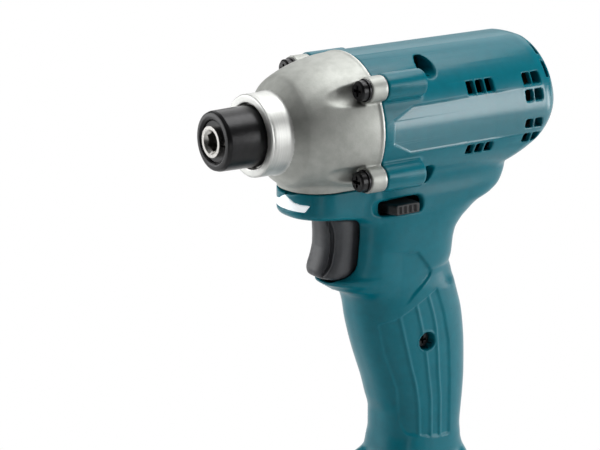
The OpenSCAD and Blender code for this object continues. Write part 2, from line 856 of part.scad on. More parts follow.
// The channel that takes the battery's tongue, and the seat of the terminal block
module foot_channel() {
  lip_top = battery_h + tongue_h - rail_h - rail_gap;
  top = battery_h + tongue_h + rail_gap;
  front = foot_len;
  translate([-joint_x, 0, -axis_h]) {
    block([tongue_rear - rail_gap, -overrun, 0], [front, tongue_w / 2 + rail_gap, lip_top + overrun]);
    block([tongue_rear - rail_gap, -overrun, lip_top], [front, tongue_w / 2 + rail_w + rail_gap, top]);
    block([-block_len / 2 - seat_gap, -overrun, battery_h],
      [block_len / 2 + seat_gap, block_w / 2 + seat_gap, block_bottom + block_h + overrun]);
    block([notch_rear, -overrun, 0], [front, button_w / 2 + overrun, lip_top]);
  }
}

// Ribs that hold the gear case, the motor can, the rear bearing and the switch
module ribs() {
  rib_r = bore_r + housing_wall / 2;
  ring(rib_r, spindle_bearing_r + bearing_boss_wall + fit_gap, gear_case_rear - can_rib_w,
    gear_case_rear - seat_gap, 180);
  for (x = [can_front - can_rib_inset, can_rear + can_rib_inset])
    ring(rib_r, can_r + fit_gap, x - can_rib_w / 2, x + can_rib_w / 2, 180);
  ring(rear_bearing_r + rear_boss_wall, rear_bearing_r + fit_gap, -barrel_len + rear_wall / 2,
    rear_bearing_front, 180);
  for (x = [switch_front - switch_rib_inset, switch_front - switch_len + switch_rib_inset])
    block([x - switch_rib_t / 2, switch_w / 2 + fit_gap, -switch_top - switch_h + switch_rib_inset],
      [x + switch_rib_t / 2, switch_rib_end, -switch_top - switch_rib_inset]);
}

// A round bar across the tool, from the middle outwards
module cross_bar(site, r, from, to) {
  translate([site[0], from, site[1]]) rotate([-90, 0, 0]) cylinder(r = r, h = to - from);
}

// One half of the housing, drawn on the left; only the left half takes the screw heads
module housing_half(takes_heads) {
  difference() {
    union() {
      difference() {
        union() {
          difference() {
            barrel_half();
            rear_slope(0);
          }
          ridges();
          half_loft(concat(neck_rows, grip_rows, foot_rows));
          chin_half();
        }
        case_space();
        barrel_room();
        half_loft([for (r = concat(neck_rows, grip_rows, hollow_rows)) inset_row(r, housing_wall)]);
        chin_room();
        foot_channel();
      }
      difference() {
        ribs();
        rear_slope(0);
      }
      for (s = housing_sites) cross_bar(s, housing_boss_r, 0, s[3]);
    }
    bar(gear_case_r + fit_gap, gear_case_rear - seat_gap, overrun);
    trigger_slot();
    lever_window();
    lens_band(fit_gap);
    panel_pocket();
    for (z = mid_vent_zs) vent_row(mid_vent_x, z, mid_vent_count);
    for (z = rear_vent_zs) vent_row(rear_vent_x, z, rear_vent_count);
    for (up = [-1, 1]) translate([0, ear_y, up * ear_z])
      bar(case_screw_r + fit_gap, -case_screw_depth - loose_gap, overrun);
    for (s = housing_sites) {
      cross_bar(s, housing_screw_r + fit_gap, -overrun,
        takes_heads ? s[2] + overrun : housing_screw_reach + loose_gap);
      if (takes_heads) cross_bar(s, housing_recess_r, s[2], foot_w);
    }
  }
}

module housing_left() {
  color("teal") at_joint() housing_half(true);
}

module housing_right() {
  color("teal") at_joint() mirror([0, 1, 0]) housing_half(false);
}

module housing_screws() {
  color("dimgray") at_joint() for (s = housing_sites) difference() {
    union() {
      cross_bar(s, housing_screw_r, -housing_screw_reach, s[2]);
      cross_bar(s, housing_head_r, s[2], s[2] + housing_head_h);
    }
    translate([s[0], s[2] + housing_head_h, s[1]]) {
      cube([2 * drive_slot_h, drive_slot_h, drive_slot_w], center = true);
      cube([drive_slot_w, drive_slot_h, 2 * drive_slot_h], center = true);
    }
  }
}

// Hammer case

function case_r_at(u) = case_front_r + (barrel_r - case_front_r) * (1 - pow(u, case_curve));
case_outline = concat([[0, 0]],
  [for (i = [0:case_steps]) [case_r_at(i / case_steps), case_len * i / case_steps]],
  [[nose_r, case_len + shoulder_len], [nose_r, nose_len - nose_chamfer], [nose_r - nose_chamfer, nose_len],
    [0, nose_len]]);
bush_bore_r = bush_r + fit_gap;
module case_room() {
  lathe([[0, -overrun], [spigot_r + fit_gap, -overrun], [spigot_r + fit_gap, register_len],
    [hammer_room_r, register_len], [hammer_room_r, wide_room_len], [wing_room_r, wide_room_len],
    [wing_room_r, case_room_len], [bush_bore_r, case_room_len], [bush_bore_r, nose_len - nose_recess],
    [nose_recess_r, nose_len - nose_recess], [nose_recess_r, nose_len + overrun], [0, nose_len + overrun]]);
}

// Repeats a shape at the four ears
module at_ears() {
  for (side = [-1, 1], up = [-1, 1]) translate([0, side * ear_y, up * ear_z]) children();
}

module hammer_case() {
  color("silver") at_joint() difference() {
    union() {
      lathe(case_outline);
      translate([0, 0, -skirt_drop]) linear_extrude(height = skirt_drop)
        chin_plan(0, chin_front, chin_w, skirt_round);
      at_ears() bar(ear_r, 0, ear_len);
    }
    case_room();
    block([-overrun, -2 * barrel_r, -2 * barrel_r], [nose_len, 2 * barrel_r, -skirt_drop]);
    at_ears() bar(case_screw_r + fit_gap, -overrun, ear_len + overrun);
    at_ears() bar(scoop_r, ear_len, nose_len);
  }
}

module case_screws() {
  head = ear_len + case_screw_washer_t;
  color("black") at_joint() at_ears() difference() {
    union() {
      bar(case_screw_r, -case_screw_depth, head);
      bar(case_screw_washer_r, ear_len, head);
      bar(case_screw_head_r, head, head + case_screw_head_h);
    }
    translate([head + case_screw_head_h, 0, 0]) {
      cube([2 * drive_slot_h, 2 * drive_slot_h, drive_slot_w], center = true);
      cube([2 * drive_slot_h, drive_slot_w, 2 * drive_slot_h], center = true);
    }
  }
}

module case_seal() {
  color("black") at_joint() rotate([0, 90, 0]) rotate_extrude()
    translate([seal_place, seal_x]) circle(r = seal_wire_r - fit_gap);
}

// Bit holder

module anvil() {
  color("gray") at_joint() difference() {
    union() {
      lathe([[0, wing_rear], [hub_r, wing_rear], [hub_r, wing_front], [journal_r, wing_front],
        [journal_r, tip_start], [anvil_tip_r, tip_start], [anvil_tip_r, anvil_front], [0, anvil_front]]);
      intersection() {
        bar(wing_len, wing_rear, wing_front);
        block([wing_rear, -wing_w / 2, -hammer_r], [wing_front, wing_w / 2, hammer_r]);
      }
    }
    translate([anvil_front - hex_depth, 0, 0]) rotate([0, 90, 0])
      cylinder(r = hex_r, h = hex_depth + overrun, $fn = 6);
    translate([anvil_front - hex_lead, 0, 0]) rotate([0, 90, 0])
      cylinder(r1 = hex_flats / 2, r2 = hex_lead_r, h = hex_lead);
    bar(pilot_r + fit_gap, wing_rear - overrun, wing_rear + pilot_depth);
    ring(anvil_tip_r + overrun, anvil_tip_r - clip_groove - fit_gap, clip_front - clip_t - fit_gap,
      clip_front + fit_gap);
    translate([bit_ball_x, 0, 0]) rotate([90, 0, 0])
      cylinder(r = bit_ball_r + fit_gap, h = 2 * sleeve_r, center = true);
  }
}

module anvil_bush() {
  color("goldenrod") at_joint()
    ring(bush_r, journal_r + fit_gap, case_room_len + seat_gap, case_room_len + seat_gap + bush_len);
}

module anvil_washer() {
  color("lightgray") at_joint()
    ring(wing_room_r - run_gap, journal_r + loose_gap, wing_front + seat_gap,
      wing_front + seat_gap + thrust_t);
}

module bit_sleeve() {
  rear_r = sleeve_r + sleeve_flare;
  color("black") at_joint() lathe([[sleeve_rear_r, sleeve_rear], [rear_r - sleeve_edge, sleeve_rear],
    [rear_r, sleeve_rear + sleeve_edge], [sleeve_r, sleeve_front - sleeve_edge],
    [sleeve_r - sleeve_edge, sleeve_front], [sleeve_room_r, sleeve_front],
    [sleeve_room_r, sleeve_rib_front], [sleeve_rib_r, sleeve_rib_front], [sleeve_rib_r, sleeve_rib_rear],
    [sleeve_rear_r, sleeve_rib_rear]]);
}

module sleeve_spring() {
  washer_rear = washer_front - washer_t;
  color("silver") at_joint() translate([sleeve_rib_front + seat_gap, 0, 0])
    coil((anvil_tip_r + sleeve_room_r) / 2, sleeve_wire_r, washer_rear - sleeve_rib_front - 2 * seat_gap,
      sleeve_turns);
}

module sleeve_washer() {
  color("gray") at_joint() ring(washer_r, anvil_tip_r + fit_gap, washer_front - washer_t, washer_front);
}

module sleeve_ring() {
  color("darkgray") at_joint() difference() {
    ring(clip_r, anvil_tip_r - clip_groove, clip_front - clip_t, clip_front);
    block([clip_front - clip_t - overrun, 0, -clip_gap_w / 2],
      [clip_front + overrun, sleeve_r, clip_gap_w / 2]);
  }
}

module bit_balls() {
  color("silver") at_joint() for (side = [-1, 1])
    translate([bit_ball_x, side * bit_ball_place, 0]) sphere(r = bit_ball_r);
}

// Impact drive

module hammer() {
  color("dimgray") at_joint() difference() {
    union() {
      ring(hammer_r, spindle_r + run_gap, hammer_rear, hammer_front);
      intersection() {
        ring(lug_out_r, lug_in_r, hammer_front - overrun, hammer_front + lug_h);
        block([hammer_front - overrun, -hammer_r, -lug_w / 2], [hammer_front + lug_h, hammer_r, lug_w / 2]);
      }
    }
    ring(pocket_out_r, pocket_in_r, hammer_rear - overrun, pocket_end);
    for (side = [-1, 1]) translate([0, side * (spindle_r + run_gap), 0])
      bar(cam_ball_r + run_gap, cam_slot_rear, hammer_front + overrun);
  }
}

module hammer_spring() {
  front = spring_washer_front - spring_washer_t - seat_gap;
  color("silver") at_joint() translate([plate_front + seat_gap, 0, 0])
    coil(spring_seat_r, hammer_wire_r, front - plate_front - seat_gap, hammer_turns);
}

module spring_washer() {
  color("lightgray") at_joint() ring(pocket_out_r - run_gap, pocket_in_r + run_gap,
    spring_washer_front - spring_washer_t, spring_washer_front);
}

module thrust_balls() {
  x = pocket_end - seat_gap - thrust_ball_r;
  color("silver") at_joint() for (i = [0:thrust_ball_count - 1])
    rotate([360 * i / thrust_ball_count, 0, 0]) translate([x, spring_seat_r, 0]) sphere(r = thrust_ball_r);
}

module cam_balls() {
  color("silver") at_joint() for (side = [-1, 1])
    translate([cam_ball_x, side * (spindle_r + run_gap), 0]) sphere(r = cam_ball_r);
}

module spindle() {
  rear = spindle_bearing_rear + seat_gap;
  color("gray") at_joint() difference() {
    union() {
      lathe([[0, plate_front - plate_t], [plate_r, plate_front - plate_t], [plate_r, plate_front],
        [spindle_r, plate_front], [spindle_r, spindle_front], [pilot_r, spindle_front],
        [pilot_r, spindle_front + pilot_len], [0, spindle_front + pilot_len]]);
      ring(plate_r, pinion_room_r, rear_plate_rear, rear_plate_rear + rear_plate_t);
      ring(spindle_hub_r, pinion_room_r, rear, rear_plate_rear + overrun);
      intersection() {
        bar(plate_r, rear_plate_rear, plate_front);
        for (side = [-1, 1]) translate([0, side * (post_in_y + plate_r) / 2, 0])
          block([rear_plate_rear + overrun, -(plate_r - post_in_y) / 2, -post_w / 2],
            [plate_front - overrun, (plate_r - post_in_y) / 2, post_w / 2]);
      }
    }
    bar(pinion_room_r, rear - overrun, plate_front - plate_t / 2);
    for (up = [-1, 1]) translate([0, 0, up * planet_place])
      bar(planet_pin_r + fit_gap, rear_plate_rear - overrun, plate_front - plate_t / 4);
    for (side = [-1, 1]) translate([cam_ball_x - cam_groove_len / 2, side * (spindle_r + run_gap), 0]) {
      bar(cam_ball_r + run_gap, 0, cam_groove_len / 2);
      translate([cam_groove_len / 2, 0, 0]) sphere(r = cam_ball_r + run_gap);
    }
  }
}

// A planet gear at one side of the pinion, half a tooth round so that it meshes
module planet_gear(up) {
  color("lightgray") at_joint() translate([0, 0, up * planet_place]) difference() {
    gear(planet_teeth, 180 / planet_teeth, planet_rear, planet_front);
    bar(planet_pin_r + fit_gap, planet_rear - overrun, planet_front + overrun);
  }
}

module planet_gear_upper() {
  planet_gear(1);
}

module planet_gear_lower() {
  planet_gear(-1);
}

module planet_pins() {
  color("silver") at_joint() for (up = [-1, 1]) translate([0, 0, up * planet_place])
    bar(planet_pin_r, rear_plate_rear, plate_front - plate_t / 4 - fit_gap);
}

module ring_gear() {
  color("gray") at_joint() difference() {
    bar(ring_r, planet_rear, planet_front);
    translate([planet_rear - overrun, 0, 0]) rotate([0, 90, 0]) rotate([0, 0, 180 / ring_teeth])
      linear_extrude(height = gear_w + 2 * overrun)
        polygon(gear_points(ring_teeth, tooth_ded, tooth_add, backlash));
  }
}

module gear_case() {
  boss_r = spindle_bearing_r + bearing_boss_wall;
  nose = front_bearing_r + bearing_boss_wall;
  ring_room_r = ring_r + fit_gap;
  end_hole_r = front_bearing_r + fit_gap;
  color("darkslategray") at_joint() difference() {
    lathe([[boss_hole_r, boss_rear], [end_hole_r, boss_rear], [end_hole_r, front_bearing_rear],
      [nose, front_bearing_rear], [nose, boss_rear], [boss_r, boss_rear], [boss_r, gear_case_rear],
      [gear_case_r, gear_case_rear], [gear_case_r, -seat_gap], [spigot_r, -seat_gap],
      [spigot_r, gear_case_front], [hammer_room_r, gear_case_front],
      [hammer_room_r, planet_front + seat_gap],
      [ring_room_r, planet_front + seat_gap], [ring_room_r, planet_rear - seat_gap],
      [gear_case_step_r, planet_rear - seat_gap],
      [gear_case_step_r, gear_case_floor], [spindle_bearing_r + fit_gap, gear_case_floor],
      [spindle_bearing_r + fit_gap, spindle_bearing_rear - fit_gap],
      [boss_hole_r, spindle_bearing_rear - fit_gap]]);
    ring(spigot_r + overrun, seal_place - seal_wire_r, seal_x - seal_wire_r, seal_x + seal_wire_r);
  }
}

module spindle_bearing() {
  color("lightgray") at_joint()
    bearing(spindle_bearing_r, spindle_hub_r + fit_gap, spindle_bearing_rear, spindle_bearing_front);
}

// Motor

module pinion() {
  shank_rear = front_bearing_front + seat_gap;
  color("silver") at_joint() difference() {
    union() {
      gear(sun_teeth, 0, planet_rear, planet_front);
      bar(pinion_shank_r, shank_rear, planet_rear);
    }
    bar(pinion_seat_r + fit_gap, shank_rear - overrun, planet_front + overrun);
  }
}

module motor_shaft() {
  color("silver") at_joint() lathe([[0, shaft_rear], [shaft_r, shaft_rear],
    [shaft_r, front_bearing_front], [pinion_seat_r, front_bearing_front], [pinion_seat_r, planet_front],
    [0, planet_front]]);
}

module motor_front_bearing() {
  color("lightgray") at_joint()
    bearing(front_bearing_r, shaft_r + fit_gap, front_bearing_rear, front_bearing_front - seat_gap);
}

module fan() {
  fan_rear = fan_front - fan_hub_len;
  color("black") at_joint() {
    difference() {
      union() {
        bar(fan_hub_r, fan_rear, fan_front);
        bar(fan_r, fan_front - fan_blade_h - fan_disc_t, fan_front - fan_blade_h);
        for (i = [0:fan_blades - 1]) rotate([360 * i / fan_blades, 0, 0])
          block([fan_front - fan_blade_h - fan_disc_t / 2, fan_blade_in, -fan_blade_t / 2],
            [fan_front, fan_r - fan_blade_t, fan_blade_t / 2]);
      }
      bar(shaft_r + fit_gap, fan_rear - overrun, fan_front + overrun);
    }
  }
}

module rotor_core() {
  color("dimgray") at_joint() difference() {
    ring(rotor_r, shaft_r + fit_gap, core_rear, core_front);
    for (i = [0:core_slots - 1]) rotate([360 * i / core_slots, 0, 0]) {
      block([core_rear - overrun, core_hub_r, -core_slot_w / 2],
        [core_front + overrun, rotor_r + overrun, core_slot_w / 2]);
      translate([0, (core_hub_r + rotor_r) / 2, 0])
        bar(core_slot_w, core_rear - overrun, core_front + overrun);
    }
  }
}

module rotor_winding() {
  color("peru") at_joint() {
    for (i = [0:core_slots - 1]) rotate([360 * i / core_slots, 0, 0])
      translate([0, (core_hub_r + rotor_r) / 2, 0])
        bar(core_slot_w - run_gap, core_rear - winding_t / 2, core_front + winding_t / 2);
    ring(winding_r, shaft_r + winding_t, core_front + fit_gap, core_front + winding_t);
    ring(winding_r, shaft_r + winding_t, core_rear - winding_t, core_rear - fit_gap);
  }
}

module commutator() {
  rear = commutator_front - commutator_len;
  color("chocolate") at_joint() difference() {
    ring(commutator_r, shaft_r + fit_gap, rear, core_rear - winding_t - fit_gap);
    for (i = [0:commutator_bars - 1]) rotate([360 * i / commutator_bars, 0, 0])
      block([rear - overrun, commutator_r - bar_gap_depth, -bar_gap / 2],
        [commutator_front, commutator_r + overrun, bar_gap / 2]);
  }
}

module motor_can() {
  color("lightsteelblue") at_joint() ring(can_r, can_r - can_t, can_rear, can_front);
}

module motor_magnets() {
  magnet_r = can_r - can_t - fit_gap;
  color("darkslategray") at_joint() difference() {
    ring(magnet_r, magnet_r - magnet_t, can_rear + magnet_inset, can_front - magnet_inset);
    block([can_rear, -magnet_gap_w / 2, -can_r], [can_front, magnet_gap_w / 2, can_r]);
  }
}

// Repeats a shape for the left and the right brush, drawn upright
module at_brushes() {
  for (turn = [90, 270]) rotate([turn, 0, 0]) translate([brush_x, 0, commutator_r + run_gap]) children();
}

module brush_holder() {
  box = [brush_t / 2 + brush_box_wall, brush_w / 2 + brush_box_wall];
  hole = [brush_t / 2 + fit_gap, brush_w / 2 + fit_gap];
  box_low = brush_len / 3;
  box_high = holder_in_r - commutator_r + overrun;
  color("saddlebrown") at_joint() difference() {
    union() {
      ring(can_r, holder_in_r, holder_rear, can_rear);
      at_brushes() block([-box[0], -box[1], box_low], [box[0], box[1], box_high]);
    }
    at_brushes() block([-hole[0], -hole[1], 0], [hole[0], hole[1], holder_in_r - commutator_r]);
    rear_slope(rear_slope_wall + loose_gap);
  }
}

module carbon_brushes() {
  color("black") at_joint() at_brushes()
    block([-brush_t / 2, -brush_w / 2, 0], [brush_t / 2, brush_w / 2, brush_len]);
}

module brush_springs() {
  room = holder_in_r - commutator_r - run_gap - brush_len;
  color("silver") at_joint() at_brushes() translate([0, 0, brush_len + fit_gap]) rotate([0, -90, 0])
    coil(brush_spring_r, brush_wire_r, room - 2 * fit_gap, brush_turns);
}

module motor_rear_bearing() {
  color("lightgray") at_joint()
    bearing(rear_bearing_r, shaft_r + fit_gap, rear_bearing_front - rear_bearing_w, rear_bearing_front);
}

// A pair of leads, one each side of the middle
module lead_pair(route, beside) {
  for (side = [-1, 1])
    swept_tube([for (p = route) [p[0], side * beside, p[1]]], [for (p = route) [0, 1, 0]], lead_r,
      lead_sides);
}

module motor_leads() {
  color("red") at_joint() lead_pair(motor_lead_route, motor_lead_y);
}

module battery_leads() {
  color("red") at_joint() lead_pair(battery_lead_route, battery_lead_y);
}

// Controls

module switch_body() {
  pivot_top = lever_drop - lever_h / 2;
  color("black") at_joint() difference() {
    union() {
      block([switch_front - switch_len, -switch_w / 2, -switch_top - switch_h],
        [switch_front, switch_w / 2, -switch_top]);
      translate([lever_pivot_x, 0, -switch_top]) cylinder(r = lever_pivot_r, h = switch_top - pivot_top);
    }
    translate([0, 0, -plunger_drop]) bar(plunger_r + run_gap, switch_front - switch_bore_depth,
      switch_front + overrun);
  }
}

module switch_plunger() {
  color("gray") at_joint() translate([0, 0, -plunger_drop])
    bar(plunger_r, trigger_rear - plunger_len, trigger_rear);
}

// The trigger's side outline, hollow in front where the finger lies
module trigger_outline() {
  difference() {
    polygon([[trigger_rear, -trigger_bottom], [trigger_toe - trigger_chamfer, -trigger_bottom],
      [trigger_toe, -trigger_bottom + trigger_chamfer], [trigger_toe, -trigger_top - trigger_chamfer],
      [trigger_toe - trigger_chamfer / 2, -trigger_top], [trigger_rear, -trigger_top]]);
    translate([trigger_front + trigger_hollow_r, -trigger_waist_drop]) circle(r = trigger_hollow_r);
  }
}

module trigger() {
  half = trigger_w / 2;
  color("dimgray") at_joint() difference() {
    intersection() {
      rotate([90, 0, 0]) translate([0, 0, -half]) linear_extrude(height = trigger_w) trigger_outline();
      translate([0, 0, -lip_drop]) linear_extrude(height = lip_drop)
        chin_plan(trigger_rear, trigger_toe, trigger_w, trigger_round);
    }
    for (side = [-1, 1]) translate([trigger_groove_x, side * half, 0])
      block([-trigger_groove_w / 2, -trigger_groove_depth, -lip_drop],
        [trigger_groove_w / 2, trigger_groove_depth, -trigger_top + overrun]);
  }
}

module trigger_spring() {
  room = trigger_rear - switch_front;
  color("silver") at_joint() translate([switch_front + seat_gap, 0, -plunger_drop])
    coil(trigger_spring_r, trigger_wire_r, room - 2 * seat_gap, trigger_turns);
}

module reversing_lever() {
  tip_len = lever_tip_front - lever_tip_rear;
  color("black") at_joint() translate([0, 0, -lever_drop - lever_h / 2]) difference() {
    linear_extrude(height = lever_h) {
      translate([lever_pivot_x, 0]) circle(r = lever_hub_r);
      translate([lever_pivot_x, -lever_arm_w / 2]) square([lever_tip_rear - lever_pivot_x, lever_arm_w]);
      translate([(lever_tip_front + lever_tip_rear) / 2, 0])
        round_plan([tip_len, lever_span], lever_tip_round);
    }
    translate([lever_pivot_x, 0, -overrun])
      cylinder(r = lever_pivot_r + run_gap, h = lever_h + 2 * overrun);
  }
}

// Light

module light_lens() {
  color("white") at_joint() lens_band(0);
}

module light_board() {
  front = chin_front - lens_t - led_len - 2 * fit_gap - seat_gap;
  low = -lens_top_drop - lens_h + seat_gap;
  color("green") at_joint() {
    block([front - board_t, -board_w / 2 + chin_round / 4, low],
      [front, board_w / 2 - chin_round / 4, -lens_top_drop - seat_gap]);
    for (side = [-1, 1]) translate([0, side * led_y, -lens_top_drop - lens_h / 2])
      bar(led_r, front - board_t / 2, front + led_len);
  }
}

// Terminals in the foot

// Repeats a shape at the two blades, drawn about the blade's middle
module at_blades() {
  for (side = [-1, 1]) translate([0, side * blade_y, 0]) children();
}

module terminal_block() {
  color("darkslategray") difference() {
    block([-block_len / 2, -block_w / 2, block_bottom + seat_gap], [block_len / 2, block_w / 2,
      block_bottom + block_h]);
    at_blades() block([-blade_len / 2 - fit_gap, -blade_t / 2 - fit_gap, battery_h],
      [blade_len / 2 + fit_gap, blade_t / 2 + fit_gap, block_bottom + blade_seat + fit_gap]);
  }
}

module terminal_blades() {
  color("gold") at_blades() block([-blade_len / 2, -blade_t / 2, block_bottom - blade_h],
    [blade_len / 2, blade_t / 2, block_bottom + blade_seat]);
}

// Battery

cavity_rear = -battery_len / 2 + battery_wall;
cavity_half_w = battery_w / 2 - battery_wall;

// Repeats a shape at the battery's screws
module at_battery_screws() {
  for (end = [-1, 1], side = [-1, 1])
    translate([end * (battery_len / 2 - battery_screw_inset), side * battery_screw_y, 0]) children();
}

module battery_body(low, high) {
  translate([0, 0, low]) linear_extrude(height = high - low)
    round_plan([battery_len, battery_w], battery_round);
}

// The room for the cells, with the bosses of the rear screws left standing
module cell_room(low, high) {
  difference() {
    block([cavity_rear, -cavity_half_w, low], [cavity_front, cavity_half_w, high]);
    at_battery_screws() translate([0, 0, low - overrun])
      cylinder(r = battery_boss_r, h = high - low + 2 * overrun);
  }
}

// The room for the release button, open to the front and the top
module button_room() {
  half = button_w / 2 + button_gap;
  block([button_rear - button_gap, -half, battery_h - button_drop - button_travel - button_gap],
    [battery_len, half, battery_h + overrun]);
}

module battery_lower_case() {
  color("darkslategray") difference() {
    union() {
      battery_body(battery_edge, battery_split);
      linear_extrude(height = battery_split)
        round_plan([battery_len - 2 * battery_edge, battery_w - 2 * battery_edge],
          battery_round - battery_edge);
    }
    cell_room(battery_wall, battery_split + overrun);
    at_battery_screws() {
      translate([0, 0, -overrun])
        cylinder(r = battery_screw_head_r + fit_gap, h = battery_screw_seat + overrun);
      cylinder(r = battery_screw_r + fit_gap, h = battery_split + overrun);
    }
  }
}

module battery_upper_case() {
  rail_low = battery_h + tongue_h - rail_h;
  tongue_top = battery_h + tongue_h;
  color("black") difference() {
    union() {
      battery_body(battery_split, battery_h);
      block([tongue_rear, -tongue_w / 2, battery_split + overrun],
        [tongue_front, tongue_w / 2, tongue_top]);
      block([tongue_rear, -tongue_w / 2 - rail_w, rail_low],
        [tongue_front, tongue_w / 2 + rail_w, tongue_top]);
    }
    cell_room(battery_split - overrun, cavity_top);
    block([tongue_rear + tongue_wall, -tongue_w / 2 + tongue_wall, cavity_top - overrun],
      [tongue_front - tongue_wall, tongue_w / 2 - tongue_wall, tongue_top - tongue_wall]);
    at_blades() block(
      [tongue_rear - overrun, -blade_t / 2 - blade_slot_gap, block_bottom - blade_h - overrun],
      [blade_len / 2 + overrun, blade_t / 2 + blade_slot_gap, tongue_top + overrun]);
    button_room();
    at_battery_screws() translate([0, 0, battery_split - overrun])
      cylinder(r = battery_screw_r + fit_gap,
        h = battery_screw_seat + battery_screw_len - battery_split + overrun + loose_gap);
  }
}

// Repeats a shape at each cell's axis, drawn along Y
module at_cells() {
  for (i = [0:cell_rows - 1], k = [0:cell_layers - 1])
    translate([cell_mid + (i - (cell_rows - 1) / 2) * cell_pitch, 0, cell_base + cell_r + k * cell_layer_h])
      rotate([90, 0, 0]) children();
}

module battery_cells() {
  color("seagreen") at_cells() cylinder(r = cell_r, h = cell_len, center = true);
}

module cell_holder() {
  reach = cell_pitch * (cell_rows - 1) / 2 + cell_r + holder_gap + holder_end;
  color("dimgray") for (side = [-1, 1]) difference() {
    block([cell_mid - reach, side * holder_y - holder_t / 2, battery_wall + holder_edge],
      [cell_mid + reach, side * holder_y + holder_t / 2, cavity_top - holder_edge]);
    at_cells() cylinder(r = cell_r + holder_gap, h = battery_w, center = true);
  }
}

module cell_straps() {
  low = cell_base + cell_r - strap_h / 2;
  high = cell_base + cell_r + (cell_layers - 1) * cell_layer_h + strap_h / 2;
  color("silver") for (i = [0:cell_rows - 1], side = [-1, 1])
    translate([cell_mid + (i - (cell_rows - 1) / 2) * cell_pitch, side * (cell_len + strap_t) / 2, 0])
      block([-strap_h / 2, -strap_t / 2, low], [strap_h / 2, strap_t / 2, high]);
}

module battery_board() {
  half_w = tongue_w / 2 - tongue_wall - loose_gap;
  color("green")
    block([-board_len / 2, -half_w, cavity_top], [board_len / 2, half_w, cavity_top + board_h]);
}

module battery_contacts() {
  low = cavity_top + board_h;
  inner = blade_t / 2 + loose_gap;
  outer = inner + clip_wall;
  color("gold") at_blades() difference() {
    block([-clip_len / 2, -outer, low], [clip_len / 2, outer, low + clip_h]);
    block([-clip_len, -inner, block_bottom - blade_h - loose_gap],
      [clip_len, inner, low + clip_h + overrun]);
  }
}

module battery_button() {
  front = battery_len / 2 + button_proud;
  color("red") {
    block([button_rear, -button_w / 2, battery_h - button_drop],
      [front, button_w / 2, battery_h - button_gap]);
    block([button_rear, -nib_w / 2, battery_h - overrun],
      [button_rear + nib_len, nib_w / 2, battery_h + nib_rise]);
  }
}

module latch_spring() {
  low = battery_h - button_drop - button_travel - button_gap;
  room = button_travel + button_gap;
  mid = (button_rear + battery_len / 2) / 2;
  color("silver") translate([mid, 0, low + fit_gap]) rotate([0, -90, 0])
    coil(latch_spring_r, latch_wire_r, room - 2 * fit_gap, latch_turns);
}

module battery_screws() {
  color("dimgray") at_battery_screws() translate([0, 0, battery_screw_seat]) {
    cylinder(r = battery_screw_r, h = battery_screw_len);
    translate([0, 0, -battery_screw_head_h]) cylinder(r = battery_screw_head_r, h = battery_screw_head_h);
  }
}

housing_left();
housing_right();
housing_screws();
hammer_case();
case_screws();
case_seal();
anvil();
anvil_bush();
anvil_washer();
bit_sleeve();
sleeve_spring();
sleeve_washer();
sleeve_ring();
bit_balls();
hammer();
hammer_spring();
spring_washer();
thrust_balls();
cam_balls();
spindle();
planet_gear_upper();
planet_gear_lower();
planet_pins();
ring_gear();
gear_case();
spindle_bearing();
pinion();
motor_shaft();
motor_front_bearing();
fan();
rotor_core();
rotor_winding();
commutator();
motor_can();
motor_magnets();
brush_holder();
carbon_brushes();
brush_springs();
motor_rear_bearing();
motor_leads();
switch_body();
switch_plunger();
trigger();
trigger_spring();
reversing_lever();
light_lens();
light_board();
terminal_block();
terminal_blades();
battery_leads();
battery_lower_case();
battery_upper_case();
battery_cells();
cell_holder();
cell_straps();
battery_board();
battery_contacts();
battery_button();
latch_spring();
battery_screws();
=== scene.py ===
import json
import math

import bpy
import numpy as np
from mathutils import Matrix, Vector


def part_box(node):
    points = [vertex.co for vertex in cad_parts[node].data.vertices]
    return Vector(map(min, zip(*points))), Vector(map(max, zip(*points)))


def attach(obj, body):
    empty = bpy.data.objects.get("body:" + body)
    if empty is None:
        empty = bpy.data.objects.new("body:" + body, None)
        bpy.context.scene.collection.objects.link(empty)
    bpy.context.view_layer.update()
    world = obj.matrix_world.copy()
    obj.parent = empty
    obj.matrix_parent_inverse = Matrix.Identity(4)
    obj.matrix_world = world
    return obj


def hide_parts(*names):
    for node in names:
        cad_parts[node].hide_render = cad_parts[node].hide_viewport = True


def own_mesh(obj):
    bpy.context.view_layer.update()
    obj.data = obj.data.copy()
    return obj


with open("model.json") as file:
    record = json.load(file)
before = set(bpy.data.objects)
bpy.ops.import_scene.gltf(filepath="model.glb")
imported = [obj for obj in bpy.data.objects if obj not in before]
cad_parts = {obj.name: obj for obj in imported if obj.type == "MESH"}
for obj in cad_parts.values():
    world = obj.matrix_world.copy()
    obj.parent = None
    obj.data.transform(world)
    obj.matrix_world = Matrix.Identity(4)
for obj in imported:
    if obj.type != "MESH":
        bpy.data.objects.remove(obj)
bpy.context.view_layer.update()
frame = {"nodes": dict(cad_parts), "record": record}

# Drive and motor
# The turned, hardened and wound pieces that the two housing halves hold: gears, hammer, spindle, motor,
# switch and leads. They keep their solids, and each gets the finish of what it is made of.


def tone(red, green, blue):
    """A colour as a paint chart gives it, 0 to 255, as linear light."""
    part = np.array([red, green, blue]) / 255
    return (*np.where(part <= 0.04045, part / 12.92, ((part + 0.055) / 1.055) ** 2.4), 1)


def put(tree, kind, inputs, **settings):
    """The outputs of a new node in a tree, with its inputs set to values or linked to other outputs."""
    node = tree.nodes.new(kind)
    for key, value in settings.items():
        setattr(node, key, value)
    for key, value in inputs.items():
        for one in value if isinstance(value, list) else [value]:
            if isinstance(one, bpy.types.NodeSocket):
                tree.links.new(one, node.inputs[key])
            else:
                node.inputs[key].default_value = one
    return node.outputs


